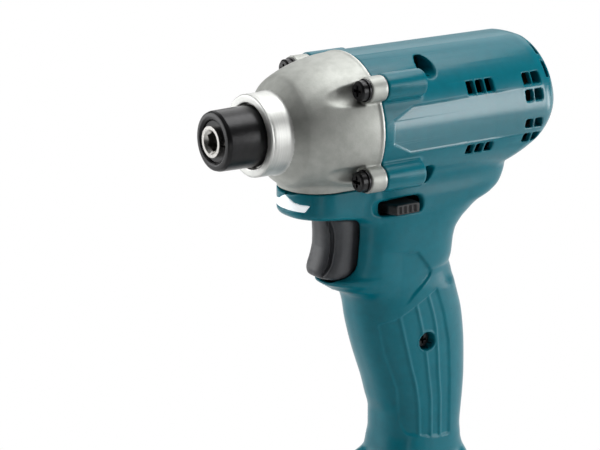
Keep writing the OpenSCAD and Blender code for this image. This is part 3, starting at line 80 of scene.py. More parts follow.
def finish(name, pale, dark, rough, metal=0.0, patch=(300, 300, 300), grain=2500, bump=0.15, shine=0.5):
    """A solid finish whose colour, gloss and relief vary by noise: patch is the colour's scale per metre."""
    material = bpy.data.materials.new(name)
    material.use_nodes = True
    tree = material.node_tree
    gloss_spread, relief_height = 0.06, 0.0002
    place = put(tree, "ShaderNodeTexCoord", {})["Object"]
    turn = put(tree, "ShaderNodeMapping", {"Vector": place, "Scale": patch})["Vector"]
    cloud = put(tree, "ShaderNodeTexNoise", {"Vector": turn, "Scale": 1, "Detail": 5})["Fac"]
    fine = put(tree, "ShaderNodeTexNoise", {"Vector": place, "Scale": grain, "Detail": 3})["Fac"]
    tint = put(tree, "ShaderNodeValToRGB", {"Fac": cloud})["Color"]
    for stop, at, colour in zip(tint.node.color_ramp.elements, (0.3, 0.7), (dark, pale)):
        stop.position, stop.color = at, tone(*colour)
    gloss = put(tree, "ShaderNodeMapRange", {"Value": fine, "To Min": rough - gloss_spread,
                                             "To Max": rough + gloss_spread})["Result"]
    relief = put(tree, "ShaderNodeBump", {"Height": fine, "Strength": bump,
                                          "Distance": relief_height})["Normal"]
    shader = tree.nodes["Principled BSDF"].inputs
    shader["Metallic"].default_value = metal
    shader["Specular IOR Level"].default_value = shine
    for key, output in (("Base Color", tint), ("Roughness", gloss), ("Normal", relief)):
        tree.links.new(output, shader[key])
    return material


turned = (2500, 60, 60)
black_steel = finish("blackened_steel", (34, 34, 36), (22, 22, 24), 0.3, 0.35)
bright_steel = finish("bright_steel", (208, 206, 202), (188, 186, 182), 0.24, 1.0, turned)
black_plastic = finish("glass_filled_black", (34, 35, 37), (26, 27, 29), 0.46, grain=2200)
trigger_nylon = finish("trigger_nylon", (66, 68, 72), (58, 60, 64), 0.42, grain=2600)
finishes = {
    "black_steel": black_steel,
    "bright_steel": bright_steel,
    "black_plastic": black_plastic,
    "trigger_plastic": trigger_nylon,
    "tool_steel": finish("hardened_steel", (150, 148, 146), (126, 124, 122), 0.3, 1.0, turned),
    "bronze": finish("sintered_bronze", (186, 142, 88), (162, 120, 72), 0.4, 1.0, grain=4000),
    "copper": finish("enamelled_copper", (196, 108, 62), (168, 84, 44), 0.3, 1.0, (900, 200, 200)),
    "magnet": finish("sintered_magnet", (74, 74, 78), (58, 58, 62), 0.5, 0.4, grain=4000),
    "carbon": finish("pressed_carbon", (44, 42, 40), (30, 29, 28), 0.6, grain=5000, bump=0.3),
    "seal_rubber": finish("seal_rubber", (34, 34, 35), (24, 24, 25), 0.62, grain=3500),
    "brown_resin": finish("brown_resin", (96, 62, 38), (80, 50, 30), 0.5, grain=3000),
    "board": finish("circuit_board", (24, 92, 52), (16, 74, 42), 0.4, grain=3000),
    "lead_sheath": finish("lead_sheath", (150, 26, 24), (126, 20, 18), 0.5),
    "contact": finish("tinned_contact", (206, 198, 176), (184, 176, 154), 0.28, 1.0),
    "cell": finish("cell_wrap", (38, 96, 150), (30, 82, 132), 0.36),
}
slot_of = {row["node"]: row["material_slot"] for row in frame["record"]["subparts"]}
for name, node in frame["nodes"].items():
    for place in node.material_slots:
        place.material = finishes.get(slot_of[name], black_plastic)
for name in ("sleeve_washer", "sleeve_ring"):
    for place in frame["nodes"][name].material_slots:
        place.material = black_steel

# Housing halves
# Two shells of glass-filled nylon, moulded in teal and screwed together on the middle plane. The barrel
# holds the drive, the neck and grip hold the switch and leads, and the foot takes the battery's tongue.

moulded_teal = finish("moulded_teal", (0, 118, 134), (0, 111, 127), 0.3, grain=1800, bump=0.05, shine=0.3)
polished_teal = finish("polished_teal", (0, 118, 134), (0, 113, 129), 0.24, grain=1800, bump=0.02, shine=0.9)
spin = next(j for j in frame["record"]["behaviour"]["joints"] if j["name"] == "spindle_spin")
joint_mm = np.array(spin["pos_m"]) * 1000


def span(low, high, step):
    """The points of a grid in mm, as three arrays that spread against each other."""
    x, y, z = (np.arange(a, b + step / 2, step, dtype=np.float32) for a, b in zip(low, high))
    return x[:, None, None], y[None, :, None], z[None, None, :]


def soft_join(a, b, r):
    """Two distances joined with a fillet of about r."""
    h = np.maximum(r - np.abs(a - b), 0) / r
    return np.minimum(a, b) - h * h * r / 4


def round_cross(a, b, r):
    """What two distances share, with its edge rounded by r."""
    return np.minimum(np.maximum(a, b), -r) + np.hypot(np.maximum(a + r, 0), np.maximum(b + r, 0))


def soft_cut(a, b, r):
    """Distance a with b cut out of it, with the rim rounded by r."""
    return round_cross(a, -b, r)


def block(x, y, z, low, high, r=0.0):
    """Distance to a box between two corners, with edges rounded by r."""
    d = [np.abs(p - (a + b) / 2) - ((b - a) / 2 - r) for p, a, b in zip((x, y, z), low, high)]
    out = np.sqrt(sum(np.maximum(p, 0) ** 2 for p in d))
    return out + np.minimum(np.maximum(np.maximum(d[0], d[1]), d[2]), 0) - r


def outline(u, v, points):
    """Distance to a closed outline of points on a plane, negative inside."""
    shape = np.broadcast(u, v).shape
    best, inside = np.full(shape, 1e9, np.float32), np.zeros(shape, bool)
    for (a, b), (c, d) in zip(points, points[1:] + points[:1]):
        e, f = c - a, d - b
        t = np.clip(((u - a) * e + (v - b) * f) / (e * e + f * f), 0, 1)
        best = np.minimum(best, (u - a - t * e) ** 2 + (v - b - t * f) ** 2)
        inside ^= ((b > v) != (d > v)) & (u < e * (v - b) / (f if f else 1e-9) + a)
    return np.where(inside, -1, 1) * np.sqrt(best)


def between(t, ts, vs):
    """A smooth curve through values at rising places that never overshoots them."""
    ts, vs = np.array(ts, float), np.array(vs, float)
    gap = np.diff(ts)
    rise = np.diff(vs) / gap
    lean = np.zeros(len(ts))
    lean[0], lean[-1] = rise[0], rise[-1]
    like = rise[:-1] * rise[1:] > 0
    lean[1:-1][like] = (2 * rise[:-1] * rise[1:])[like] / (rise[:-1] + rise[1:])[like]
    i = np.clip(np.searchsorted(ts, t) - 1, 0, len(gap) - 1)
    s = np.clip((t - ts[i]) / gap[i], 0, 1)
    return ((1 + 2 * s) * (1 - s) ** 2 * vs[i] + s * (1 - s) ** 2 * gap[i] * lean[i]
            + s * s * (3 - 2 * s) * vs[i + 1] + s * s * (s - 1) * gap[i] * lean[i + 1])


def skin(field, low, step):
    """The surface where a field on a grid is zero: points in mm and faces of four corners, wound outwards."""
    inside = field < 0
    corners = np.array([(i, j, k) for i in (0, 1) for j in (0, 1) for k in (0, 1)])
    n = np.array(field.shape) - 1
    count = sum(inside[i:i + n[0], j:j + n[1], k:k + n[2]].astype(np.int8) for i, j, k in corners)
    cells = np.argwhere((count > 0) & (count < 8))
    number = np.full(n, -1, np.int32)
    number[tuple(cells.T)] = np.arange(len(cells))
    total, hits = np.zeros((len(cells), 3)), np.zeros((len(cells), 1))
    for a in corners:
        for axis in np.flatnonzero(a == 0):
            b = a.copy()
            b[axis] = 1
            fa, fb = field[tuple((cells + a).T)], field[tuple((cells + b).T)]
            on = (fa < 0) != (fb < 0)
            t = (fa[on] / (fa[on] - fb[on]))[:, None]
            total[on] += a + t * (b - a)
            hits[on] += 1
    points = np.array(low) + step * (cells + total / hits)
    faces = []
    for axis in range(3):
        p, q = np.eye(3, dtype=int)[[(axis + 1) % 3, (axis + 2) % 3]]
        one = np.eye(3, dtype=int)[axis]
        first = inside[tuple(slice(0, s - o) for s, o in zip(field.shape, one))]
        last = inside[tuple(slice(o, None) for o in one)]
        at = np.argwhere(first != last)
        at = at[((at - p - q >= 0) & (at < n)).all(axis=1)]
        ring = np.stack([number[tuple((at - o).T)] for o in (p + q, q, 0 * p, p)], axis=1)
        leaves = first[tuple(at.T)]
        faces.append(np.where(leaves[:, None], ring, ring[:, ::-1]))
    return points, np.concatenate(faces)


def mesh_piece(name, points, faces, material, start=joint_mm):
    """A piece of the object from points in mm beyond a start."""
    mesh = bpy.data.meshes.new(name)
    mesh.from_pydata(((points + start) / 1000).tolist(), [], [list(face) for face in faces])
    mesh.materials.append(material)
    mesh.shade_smooth()
    piece = bpy.data.objects.new(name, mesh)
    bpy.context.scene.collection.objects.link(piece)
    return piece


def settle(piece):
    """Turns what a piece's modifiers make into its plain mesh."""
    shape = bpy.data.meshes.new_from_object(piece.evaluated_get(bpy.context.evaluated_depsgraph_get()))
    piece.modifiers.clear()
    old, piece.data = piece.data, shape
    bpy.data.meshes.remove(old)
    shape.name = piece.name


def thin_out(piece, most, ease=None):
    """Merges small faces down to so many triangles, first where ease is 1 and hardly where it is low."""
    count = sum(len(p.vertices) - 2 for p in piece.data.polygons)
    if count <= most:
        return
    fewer = piece.modifiers.new("fewer", "DECIMATE")
    fewer.ratio = most / count
    if ease is not None:
        for level in np.unique(ease):
            group = piece.vertex_groups.get("ease") or piece.vertex_groups.new(name="ease")
            group.add(np.flatnonzero(ease == level).tolist(), float(level), "REPLACE")
        fewer.vertex_group = "ease"
        fewer.vertex_group_factor = 1
    settle(piece)
    piece.vertex_groups.clear()


def slope_at(points, field, low, step):
    """The unit slope of a field on a grid at points in mm, and the field's own value there."""
    at = np.clip((points - np.array(low)) / step, 1, np.array(field.shape) - 2.001)
    base = np.floor(at).astype(int)
    part = at - base
    slope, value = np.zeros((len(at), 3)), np.zeros(len(at))
    for corner in ((i, j, k) for i in (0, 1) for j in (0, 1) for k in (0, 1)):
        weight = np.prod(np.where(corner, part, 1 - part), axis=1)
        cell = np.clip(base + corner, 1, np.array(field.shape) - 2)
        value += weight * field[tuple(cell.T)]
        for axis in range(3):
            one = np.eye(3, dtype=int)[axis]
            slope[:, axis] += weight * (field[tuple((cell + one).T)] - field[tuple((cell - one).T)])
    return slope / (np.linalg.norm(slope, axis=1, keepdims=True) + 1e-9), value


def lean_on(piece, field, low, step, start=joint_mm, mirrored=False):
    """Gives a piece the normals of the field it was made from; a mirrored piece is turned over first."""
    mesh = piece.data
    points = np.empty(len(mesh.vertices) * 3)
    mesh.vertices.foreach_get("co", points)
    points = points.reshape(-1, 3)
    slope = slope_at(points * 1000 - start, field, low, step)[0]
    if mirrored:
        slope *= (1, -1, 1)
        mesh.vertices.foreach_set("co", (points * (1, -1, 1)).ravel())
        mesh.flip_normals()
    mesh.normals_split_custom_set_from_vertices(slope.tolist())


def field_piece(name, field, low, step, material, most, start=joint_mm):
    """A piece from a field of distances on a grid."""
    points, faces = skin(field, low, step)
    piece = mesh_piece(name, points, faces, material, start)
    thin_out(piece, most)
    lean_on(piece, field, low, step, start)
    return piece


# Sections of the neck, grip and foot: height, front, rear, half width and squareness. Those of grip and foot
# come as shares of their height, depth or length, and width
lip_drop, grip_h, grip_depth, grip_w = 58, 75, 47, 31
foot_h, foot_len, foot_w, foot_mid = 34, 104, 66, -32
sections = [(-17.98, 2.8, -70.3, 17.05, 3.4), (-23.2, 2.8, -69.8, 17.05, 3.4), (-29, 2.8, -66.95, 17.5, 3.4),
            (-31.9, 2.8, -63, 17.5, 3.4), (-34.5, 2.8, -57, 17.4, 3.2), (-36.7, 2.6, -54.4, 17.05, 3.0),
            (-40.6, 2.6, -49.6, 16.7, 3.0), (-44.5, 2.8, -46.7, 16.6, 3.0), (-49, 3.3, -45.7, 16.4, 3.0),
            (-53, 4, -45.5, 16.3, 2.9), (-56, 5.6, -45.6, 16.2, 2.6), (-57.4, 8, -46.2, 16.2, 2.3)]
grip_top, foot_top = -lip_drop, -lip_drop - grip_h
grip_rows = (
    (0, 0.21, 0.99, 1.04, 2.2), (0.02, 0.21, 1.003, 1.035, 2.2), (0.045, 0.15, 1.014, 1.03, 2.2),
    (0.069, 0.095, 1.018, 1.027, 2.3), (0.09, 0.015, 1.025, 1.023, 2.4), (0.115, -0.042, 1.032, 1.02, 2.5),
    (0.165, -0.072, 1.057, 1.015, 2.5), (0.255, -0.097, 1.099, 1.01, 2.5), (0.35, -0.135, 1.122, 1, 2.5),
    (0.43, -0.175, 1.132, 1, 2.5), (0.51, -0.221, 1.134, 0.995, 2.5), (0.59, -0.268, 1.133, 0.99, 2.5),
    (0.68, -0.31, 1.124, 0.98, 2.5), (0.775, -0.352, 1.106, 0.975, 2.5), (0.865, -0.353, 1.094, 0.975, 2.5),
    (0.93, -0.34, 1.095, 1, 2.6), (0.98, -0.323, 1.115, 1.03, 2.6))
foot_rows = (
    (0, 0.171, 0.202, 0.497, 2.7), (0.03, 0.18, 0.206, 0.509, 2.8), (0.118, 0.236, 0.221, 0.545, 2.9),
    (0.235, 0.308, 0.252, 0.636, 3.2), (0.4, 0.4, 0.322, 0.79, 3.8), (0.53, 0.457, 0.394, 0.894, 4.8),
    (0.676, 0.49, 0.466, 0.97, 6), (0.794, 0.5, 0.5, 1, 7), (1, 0.5, 0.5, 1, 7))
for share, front, rear, width, square in grip_rows:
    sections.append((grip_top - share * grip_h, front * grip_depth, -rear * grip_depth, width * grip_w / 2,
                     square))
for share, front, rear, width, square in foot_rows:
    sections.append((foot_top - share * foot_h, foot_mid + front * foot_len, foot_mid - rear * foot_len,
                     width * foot_w / 2, square))
body_base, neck_top = foot_top - foot_h, 2
shell_step = 0.5
shell_low = (-88.25, -1.25, -168.75)
x, y, z = span(shell_low, (31.75, 35.75, 28.75), shell_step)
rows = np.array(sections[::-1])
front, rear, half, square = (between(z, rows[:, 0], rows[:, i]) for i in range(1, 5))
middle, depth = (front + rear) / 2, (front - rear) / 2
u, v = np.abs(x - middle) / depth, np.abs(y) / half
reach = (u ** square + v ** square) ** (1 / square)
u2, v2 = u ** (2 * square - 2) / depth ** 2, v ** (2 * square - 2) / half ** 2
handle = (reach - 1) * reach ** (square - 1) / np.sqrt(u2 + v2 + 1e-6)
handle = np.maximum(handle.astype(np.float32), z - neck_top)
handle = round_cross(handle, body_base - z, 1)

# Barrel: round, a little flatter on top, with a rounded rear edge and a slope that takes off its lower rear
barrel_r, barrel_len, rear_round, flat_r, flat_drop = 26.2, 84, 11, 60, 34.25
radius = np.hypot(y, z)
flat_top = np.hypot(y, z + flat_drop) - flat_r
barrel = round_cross(np.maximum(radius - barrel_r, flat_top), -barrel_len - x, rear_round)
slope_drop, slope_run, slope_fall, slope_round, slope_wall = 5, 19, 22, 8, 2
slope = ((-barrel_len - x) * slope_fall - (z + slope_drop) * slope_run) / math.hypot(slope_run, slope_fall)
barrel = round_cross(barrel, slope, slope_round)

# Ridges that take the case screws
ear_y, ear_z, ear_r = 23.2, 16.6, 4.7
ridge_len, ridge_over, ridge_round, ridge_fillet = 17.6, 0.5, 1.4, 2
for up in (-1, 1):
    across = np.hypot(y - ear_y, z - up * ear_z)
    ridge = round_cross(across - ear_r - ridge_over, -ridge_len - x, ridge_round)
    barrel = soft_join(barrel, ridge, ridge_fillet)
barrel = np.maximum(barrel, x)

# Chin under the hammer case, round in plan
chin_front, chin_rear, chin_half, chin_round, chin_drop = 27.2, -6, 16, 15, 35.5
chin_line = [(chin_rear, -10), (40, -10), (40, -31.4), (27, -31.9), (24, -32.4), (15, -32.7), (9, -33.3),
             (chin_rear, -chin_drop)]


def chin_plan(x, y, z):
    """Distance to the chin's upright outside."""
    return block(x, y, 0 * z, (-40, -chin_half, -9), (chin_front, chin_half, 9), chin_round)


chin_side = chin_plan(x, y, z)
chin_under = outline(x[:, :, 0], z[0], chin_line)[:, None, :]
chin_edge, neck_fillet, chin_fillet, skirt_drop = 2.5, 2, 3, 22.3
chin = round_cross(chin_side, np.maximum(chin_under, chin_rear - x), chin_edge)
outer = soft_join(soft_join(barrel, handle, neck_fillet), chin, chin_fillet)
outer = np.maximum(outer, np.minimum(x, z + skirt_drop))

# Inside: the bores for drive and motor, the hollow grip and the walls between
bore = np.maximum(radius - 23.6, -70 - x)
for r, end in ((21.2, -77), (15.1, -81.4)):
    bore = np.minimum(bore, np.maximum(radius - r, end - x))
bore = np.maximum(bore, slope + slope_wall)
wall, hollow_top, hollow_base = 2.4, -18, -146.6
hollow = np.maximum(handle + wall, np.maximum(z - hollow_top, hollow_base - z))
hollow = np.minimum(hollow, block(x, y, z, (-9, -5, -28.4), (24.6, 7.2, -24.4)))
shell = np.maximum(outer, -np.minimum(bore, hollow))


def near(low, high):
    """The part of the shell's grid about a box, and its points."""
    cut = tuple(slice(max(0, int((a - s) / shell_step) - 3), int((b - s) / shell_step) + 5)
                for a, b, s in zip(low, high, shell_low))
    return cut, x[cut[0]], y[:, cut[1]], z[:, :, cut[2]]


def step_up(d, width):
    """From 0 at the edge of an outline to 1 at width inside it."""
    s = np.clip(-d / width, 0, 1)
    return s * s * (3 - 2 * s)


# Bare side panel, a shallow recess that runs out towards the rear vents
panel = [(-3.9, 4.5), (-13.4, 8.8), (-63.6, 9.3), (-66, -8.6), (-12.8, -8.8), (-3.9, -4.4)]
panel_depth, panel_edge, panel_end, panel_fade = 0.6, 0.5, -65, 14
cut, px, py, pz = near((-68, 14, -11), (-2, 28, 11))
sunk = panel_depth * step_up(outline(px[:, :, 0], pz[0], panel), panel_edge)[:, None, :]
sunk = sunk * np.clip((px - panel_end) / panel_fade, 0, 1)
shell[cut] = np.maximum(shell[cut], outer[cut] + sunk)

# Grip panel: an even recess, crossed by thin raised lines that part it into four long strips
grip_panel = [(-32.4, -64.6), (-33.4, -65.4), (-37.1, -75.4), (-39.7, -87), (-40.6, -102.4), (-40.7, -124),
              (-39.6, -125.3), (-34.5, -125.2), (-26.6, -123.8), (-21.7, -122.9), (-20.2, -121.5),
              (-19.2, -118.4), (-16.7, -103.7), (-11.1, -89.1), (-8.1, -77.1), (-8.3, -76.1), (-15.9, -73.4),
              (-24.2, -68.9)]
strip_lines = [[(-126, -26.1), (-114.7, -25.8), (-104.2, -24.3), (-93.5, -21.3), (-84, -18.8), (-60, -12.3)],
               [(-126, -31.2), (-110.6, -30.9), (-100.1, -29.5), (-89.7, -27.9), (-80.3, -25.9), (-60, -20)],
               [(-126, -35.4), (-110.6, -35.2), (-100.1, -34.2), (-88.2, -33.3), (-81.5, -32.6), (-60, -26)]]
strip_depth, strip_edge, line_half, border_half = 0.55, 0.6, 0.5, 0.45
cut, px, py, pz = near((-42, 9, -127), (-6, 18, -63))
flat_x, flat_z = px[:, 0, :], pz[:, 0, :]
edge = outline(flat_x, flat_z, grip_panel)
lines = np.exp(-((edge + border_half) / line_half) ** 2)
for line in strip_lines:
    lines = np.maximum(lines, np.exp(-((flat_x - between(flat_z, *np.array(line).T)) / line_half) ** 2))
sunk = strip_depth * step_up(edge, strip_edge) * (1 - lines)
shell[cut] = np.maximum(shell[cut], outer[cut] + sunk[:, None, :])

# Arrow-edged relief above it, which fades out towards the trigger and below
arrow = [(2, -46.5), (-13.5, -48), (-22.9, -49.2), (-30.5, -58.2), (-29.8, -60.3), (-22.6, -66), (-18, -71),
         (2, -73)]
arrow_depth, arrow_edge, arrow_front, front_fade, arrow_foot, foot_fade = 0.8, 0.9, -7, 9, -70, 5
cut, px, py, pz = near((-34, 9, -75), (2, 19, -45))
flat_x, flat_z = px[:, 0, :], pz[:, 0, :]
ahead = np.clip((arrow_front - flat_x) / front_fade, 0, 1)
below = np.clip((flat_z - arrow_foot) / foot_fade, 0, 1)
sunk = arrow_depth * step_up(outline(flat_x, flat_z, arrow), arrow_edge) * ahead * below
shell[cut] = np.maximum(shell[cut], outer[cut] + sunk[:, None, :])

# Vents on the side, and two slots round the rear edge
vents = [(vx, vz, 3.5, tall) for vz, tall in ((11.5, 4.6), (-11.4, 3.6)) for vx in (-40.6, -45, -49.4)]
vents += [(vx, vz, wide, tall) for vz, tall in ((11.7, 4.2), (5.8, 4.2), (-4.7, 3.4), (-10.4, 3.4))
          for vx, wide in ((-67, 3.5), (-71.3, 3.7))]
vent_round, vent_rim = 0.5, 0.25
for vx, vz, wide, tall in vents:
    low, high = (vx - wide / 2, 14, vz - tall / 2), (vx + wide / 2, 40, vz + tall / 2)
    cut, px, py, pz = near(low, (high[0], 28, high[2]))
    shell[cut] = soft_cut(shell[cut], block(px, py, pz, low, high, vent_round), vent_rim)
slot_x, slot_half, slot_floor, radian = -78.2, 1.3, 17, 57.3
cut, px, py, pz = near((-83, 5, 5), (-73, 27, 26))
turn, off = np.degrees(np.arctan2(py, pz)), np.hypot(py, pz)
for first, last in ((26, 40.5), (47, 63.5)):
    slot = (np.abs(turn - (first + last) / 2) - (last - first) / 2) * off / radian
    slot = np.maximum(np.maximum(slot, np.abs(px - slot_x) - slot_half), slot_floor - off)
    shell[cut] = soft_cut(shell[cut], slot, vent_rim)

# Openings for trigger, reversing lever, light lens, case screws and the hammer case's spigot
trigger_half, trigger_base, trigger_ceiling = 10.3, -59.4, -33.2
mouth_rear, mouth_round, mouth_rim = -9, 8.5, 0.6
cut, px, py, pz = near((mouth_rear, -1.25, -61), (31, 12, -32))
mouth = block(0 * px, py, pz, (-9, -trigger_half, trigger_base), (9, trigger_half, 0), mouth_round)
mouth = np.maximum(np.maximum(mouth, pz - trigger_ceiling), mouth_rear - px)
shell[cut] = soft_cut(shell[cut], mouth, mouth_rim)
cut, px, py, pz = near((-25, 2, -36), (0, 24, -25))
pocket = block(px, py, pz, (-24, 14.2, -33.7), (-2, 40, -27.1), 2.8)
window = block(px, py, pz, (-23.1, -40, -33.5), (-5.9, 40, -28.3), 1)
shell[cut] = soft_cut(np.maximum(shell[cut], -window), pocket, 0.5)


def lens_side(x, y, z):
    """Distance to the lens's outline: flat below, slanted at its ends, and falling on top to both sides."""
    top = between(np.abs(y), [0, 2, 5, 8.4, 14], [-23.7, -24.6, -26, -26.5, -26.5])
    below, behind = -29.1 - z, (21.9 + 0.485 * (-26.45 - z) - x) * 0.9
    return np.maximum(np.maximum(below, behind), z - top)


lens_t, lens_gap = 2, 0.06
lens_wall, wall_mid, wall_half = 2.2, -24.6, 2.3
cut, px, py, pz = near((18, -1.25, -32), (31, 19, -22))
band = np.maximum(lens_side(px, py, pz) - lens_gap, -chin_side[cut] - lens_t - lens_gap)
behind_lens = np.maximum(outer[cut] + 0.01, -outer[cut] - lens_wall)
behind_lens = np.maximum(behind_lens, np.abs(pz - wall_mid) - wall_half)
shell[cut] = np.maximum(np.minimum(shell[cut], behind_lens), -band)
spigot_r, spigot_end, thread_r, thread_end = 23.35, -21.2, 2.05, -13.3
shell = np.maximum(shell, -np.maximum(radius - spigot_r, spigot_end - x))
for up in (-1, 1):
    off = np.hypot(y - ear_y, z - up * ear_z)
    shell = np.maximum(shell, -np.maximum(off - thread_r, thread_end - x))

# Foot: channel for the battery's tongue, the seat of the terminal block and the notch for the latch
for low, high in (((-43.4, -9, -60), (90, 22.4, 50)), ((-43.4, -9, 49.6), (90, 26.4, 55.4)),
                  ((-11.1, -9, 43), (11.1, 12.1, 64.2)), ((46.2, -9, -60), (90, 13, 49.6))):
    low, high = np.array(low) - joint_mm, np.array(high) - joint_mm
    cut, px, py, pz = near((low[0], -1, -168), (21, high[1], high[2]))
    shell[cut] = soft_cut(shell[cut], block(px, py, pz, low, high, 0.3), 0.3)

# Screw bosses; on the left half each has the recess of a screw head
housing_sites = ((-24.8, 20, 6), (-24.2, -19.4, 11), (-28.6, -85.6, 9.5), (-14, -147, 20), (-50, -147, 20))
boss_r, boss_inset, shank_room, head_room, blind_end, bore_rim = 4.2, 0.2, 1.95, 3.6, 8.8, 0.3
seam, rim_reach, gloss_end, gloss_out = 0.01, 0.3, -60, 22.5
halves = {"left": shell, "right": shell.copy()}
for side, half_shell in halves.items():
    for sx, sz, seat in housing_sites:
        cut, px, py, pz = near((sx - 6, -1.25, sz - 6), (sx + 6, 34, sz + 6))
        off = np.hypot(px - sx, pz - sz)
        boss = np.maximum(off - boss_r, outer[cut] + boss_inset)
        bored = np.maximum(off - shank_room, py - (seat + 1 if side == "left" else blind_end))
        if side == "left":
            bored = np.minimum(bored, np.maximum(off - head_room, seat - py))
        half_shell[cut] = soft_cut(np.minimum(half_shell[cut], boss), bored, bore_rim)
    points, faces = skin(np.maximum(half_shell, seam - y), shell_low, shell_step)

    # The rim at the seam is drawn onto the outside, so that the two halves meet in one line
    rim = np.flatnonzero(points[:, 1] < rim_reach)
    lean, depth_in = slope_at(points[rim], half_shell, shell_low, shell_step)
    rim, lean, depth_in = (part[(depth_in > -0.4) & (depth_in < 0.1)] for part in (rim, lean, depth_in))
    points[rim] -= lean * depth_in[:, None]
    points[rim, 1] = seam
    shell_piece = mesh_piece(f"housing_shell_{side}", points, faces, moulded_teal)
    cell = np.clip(((points - shell_low) / shell_step).round().astype(int), 0, np.array(outer.shape) - 1)
    ease = np.where(outer[tuple(cell.T)] < -1.2, 1, np.where(points[:, 2] < -136, 0.8, 0.3))
    thin_out(shell_piece, most=194000, ease=ease)
    lean_on(shell_piece, half_shell, shell_low, shell_step, mirrored=side == "right")
    shell_piece.data.materials.append(polished_teal)
    middles = np.empty(len(shell_piece.data.polygons) * 3)
    shell_piece.data.polygons.foreach_get("center", middles)
    at = middles.reshape(-1, 3) * 1000 - joint_mm
    on_panel = outline(np.maximum(at[:, 0], gloss_end), at[:, 2], panel) < -0.2
    on_panel &= np.abs(at[:, 1]) > gloss_out
    shell_piece.data.polygons.foreach_set("material_index", on_panel.astype(np.int32))
    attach(shell_piece, "tool")
    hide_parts(f"housing_{side}")

# Housing screws
# Five black thread-forming screws that go in from the left and pull the halves together. Each sits on the
# floor of a round recess, and a cross in its head takes the driver.

screw_measures = ("Head radius", "Head height", "Edge", "Washer radius", "Washer height", "Shank radius",
                  "Shank length", "Slot length", "Slot width", "Slot depth")


def screw_tree():
    """A node tree that sets one cross-headed screw, drawn upright on its seat, at each point of a mesh."""
    tree = bpy.data.node_groups.new("cross_screw", "GeometryNodeTree")
    new_socket, nodes = tree.interface.new_socket, tree.nodes
    new_socket("Places", in_out="INPUT", socket_type="NodeSocketGeometry")
    for size in screw_measures:
        new_socket(size, in_out="INPUT", socket_type="NodeSocketFloat")
    new_socket("Turn", in_out="INPUT", socket_type="NodeSocketVector")
    new_socket("Finish", in_out="INPUT", socket_type="NodeSocketMaterial")
    new_socket("Screws", in_out="OUTPUT", socket_type="NodeSocketGeometry")
    given, made = nodes.new("NodeGroupInput").outputs, nodes.new("NodeGroupOutput").inputs

    def made_by(kind, inputs, **settings):
        return put(tree, kind, inputs, **settings)[0]

    def total(a, b, operation="ADD"):
        return made_by("ShaderNodeMath", {0: a, 1: b}, operation=operation)

    def raised(shape, height, turn=(0, 0, 0)):
        place = made_by("ShaderNodeCombineXYZ", {"Z": height})
        return made_by("GeometryNodeTransform", {"Geometry": shape, "Translation": place, "Rotation": turn})

    def taper(low_r, high_r, height):
        return made_by("GeometryNodeMeshCone", {"Vertices": 40, "Radius Bottom": low_r, "Radius Top": high_r,
                                                "Depth": height})

    side = total(given["Head height"], given["Edge"], "SUBTRACT")
    head_top = total(given["Washer height"], given["Head height"])
    edge_base = total(given["Washer height"], side)
    drum = raised(taper(given["Head radius"], given["Head radius"], side), given["Washer height"])
    top_r = total(given["Head radius"], given["Edge"], "SUBTRACT")
    cap = raised(taper(given["Head radius"], top_r, given["Edge"]), edge_base)
    head = made_by("GeometryNodeMeshBoolean", {"Mesh 2": [drum, cap]}, operation="UNION")
    sunk = total(given["Slot depth"], 2, "MULTIPLY")
    bar = made_by("GeometryNodeMeshCube", {"Size": made_by("ShaderNodeCombineXYZ", {
        "X": given["Slot length"], "Y": given["Slot width"], "Z": sunk})})
    cross = [raised(bar, head_top), raised(bar, head_top, (0, 0, math.pi / 2))]
    head = made_by("GeometryNodeMeshBoolean", {"Mesh 1": head, "Mesh 2": cross}, operation="DIFFERENCE")
    washer = taper(given["Washer radius"], given["Washer radius"], given["Washer height"])
    below = total(given["Shank length"], -1, "MULTIPLY")
    shank = raised(taper(given["Shank radius"], given["Shank radius"], given["Shank length"]), below)
    screw = made_by("GeometryNodeJoinGeometry", {"Geometry": [head, washer, shank]})
    screws = made_by("GeometryNodeInstanceOnPoints", {"Points": given["Places"], "Instance": screw,
                                                      "Rotation": given["Turn"]})
    screws = made_by("GeometryNodeRealizeInstances", {"Geometry": screws})
    screws = made_by("GeometryNodeSetMaterial", {"Geometry": screws, "Material": given["Finish"]})
    tree.links.new(screws, made["Screws"])
    return tree


cross_screw = screw_tree()


def screw_set(name, places, turn, sizes, start=joint_mm):
    """Screws of one size in one piece, at places in mm, with sizes in the order of screw_measures."""
    piece = mesh_piece(name, np.array(places, float), [], black_steel, start)
    driver = piece.modifiers.new("screws", "NODES")
    driver.node_group = cross_screw
    values = {size: mm / 1000 for size, mm in zip(screw_measures, sizes)}
    values |= {"Turn": turn, "Finish": black_steel}
    for socket in cross_screw.interface.items_tree:
        if socket.in_out == "INPUT" and socket.name in values:
            driver[socket.identifier] = values[socket.name]
    settle(piece)
    piece.data.shade_smooth()
    piece.data.set_sharp_from_angle(angle=math.radians(35))
    return piece


housing_screws = screw_set("housing_screw_set", [(sx, seat, sz) for sx, sz, seat in housing_sites],
                           (-math.pi / 2, 0.0, 0.0), (3, 2.4, 0.4, 3, 0.1, 1.9, 14, 3.4, 1, 1))
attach(housing_screws, "tool")
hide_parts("housing_screws")

# Hammer case
# A pressure die casting in aluminium alloy, machined at the nose and at the joint. It holds the hammer and
# the anvil's bush, and four black screws through its ears pull it against the housing.

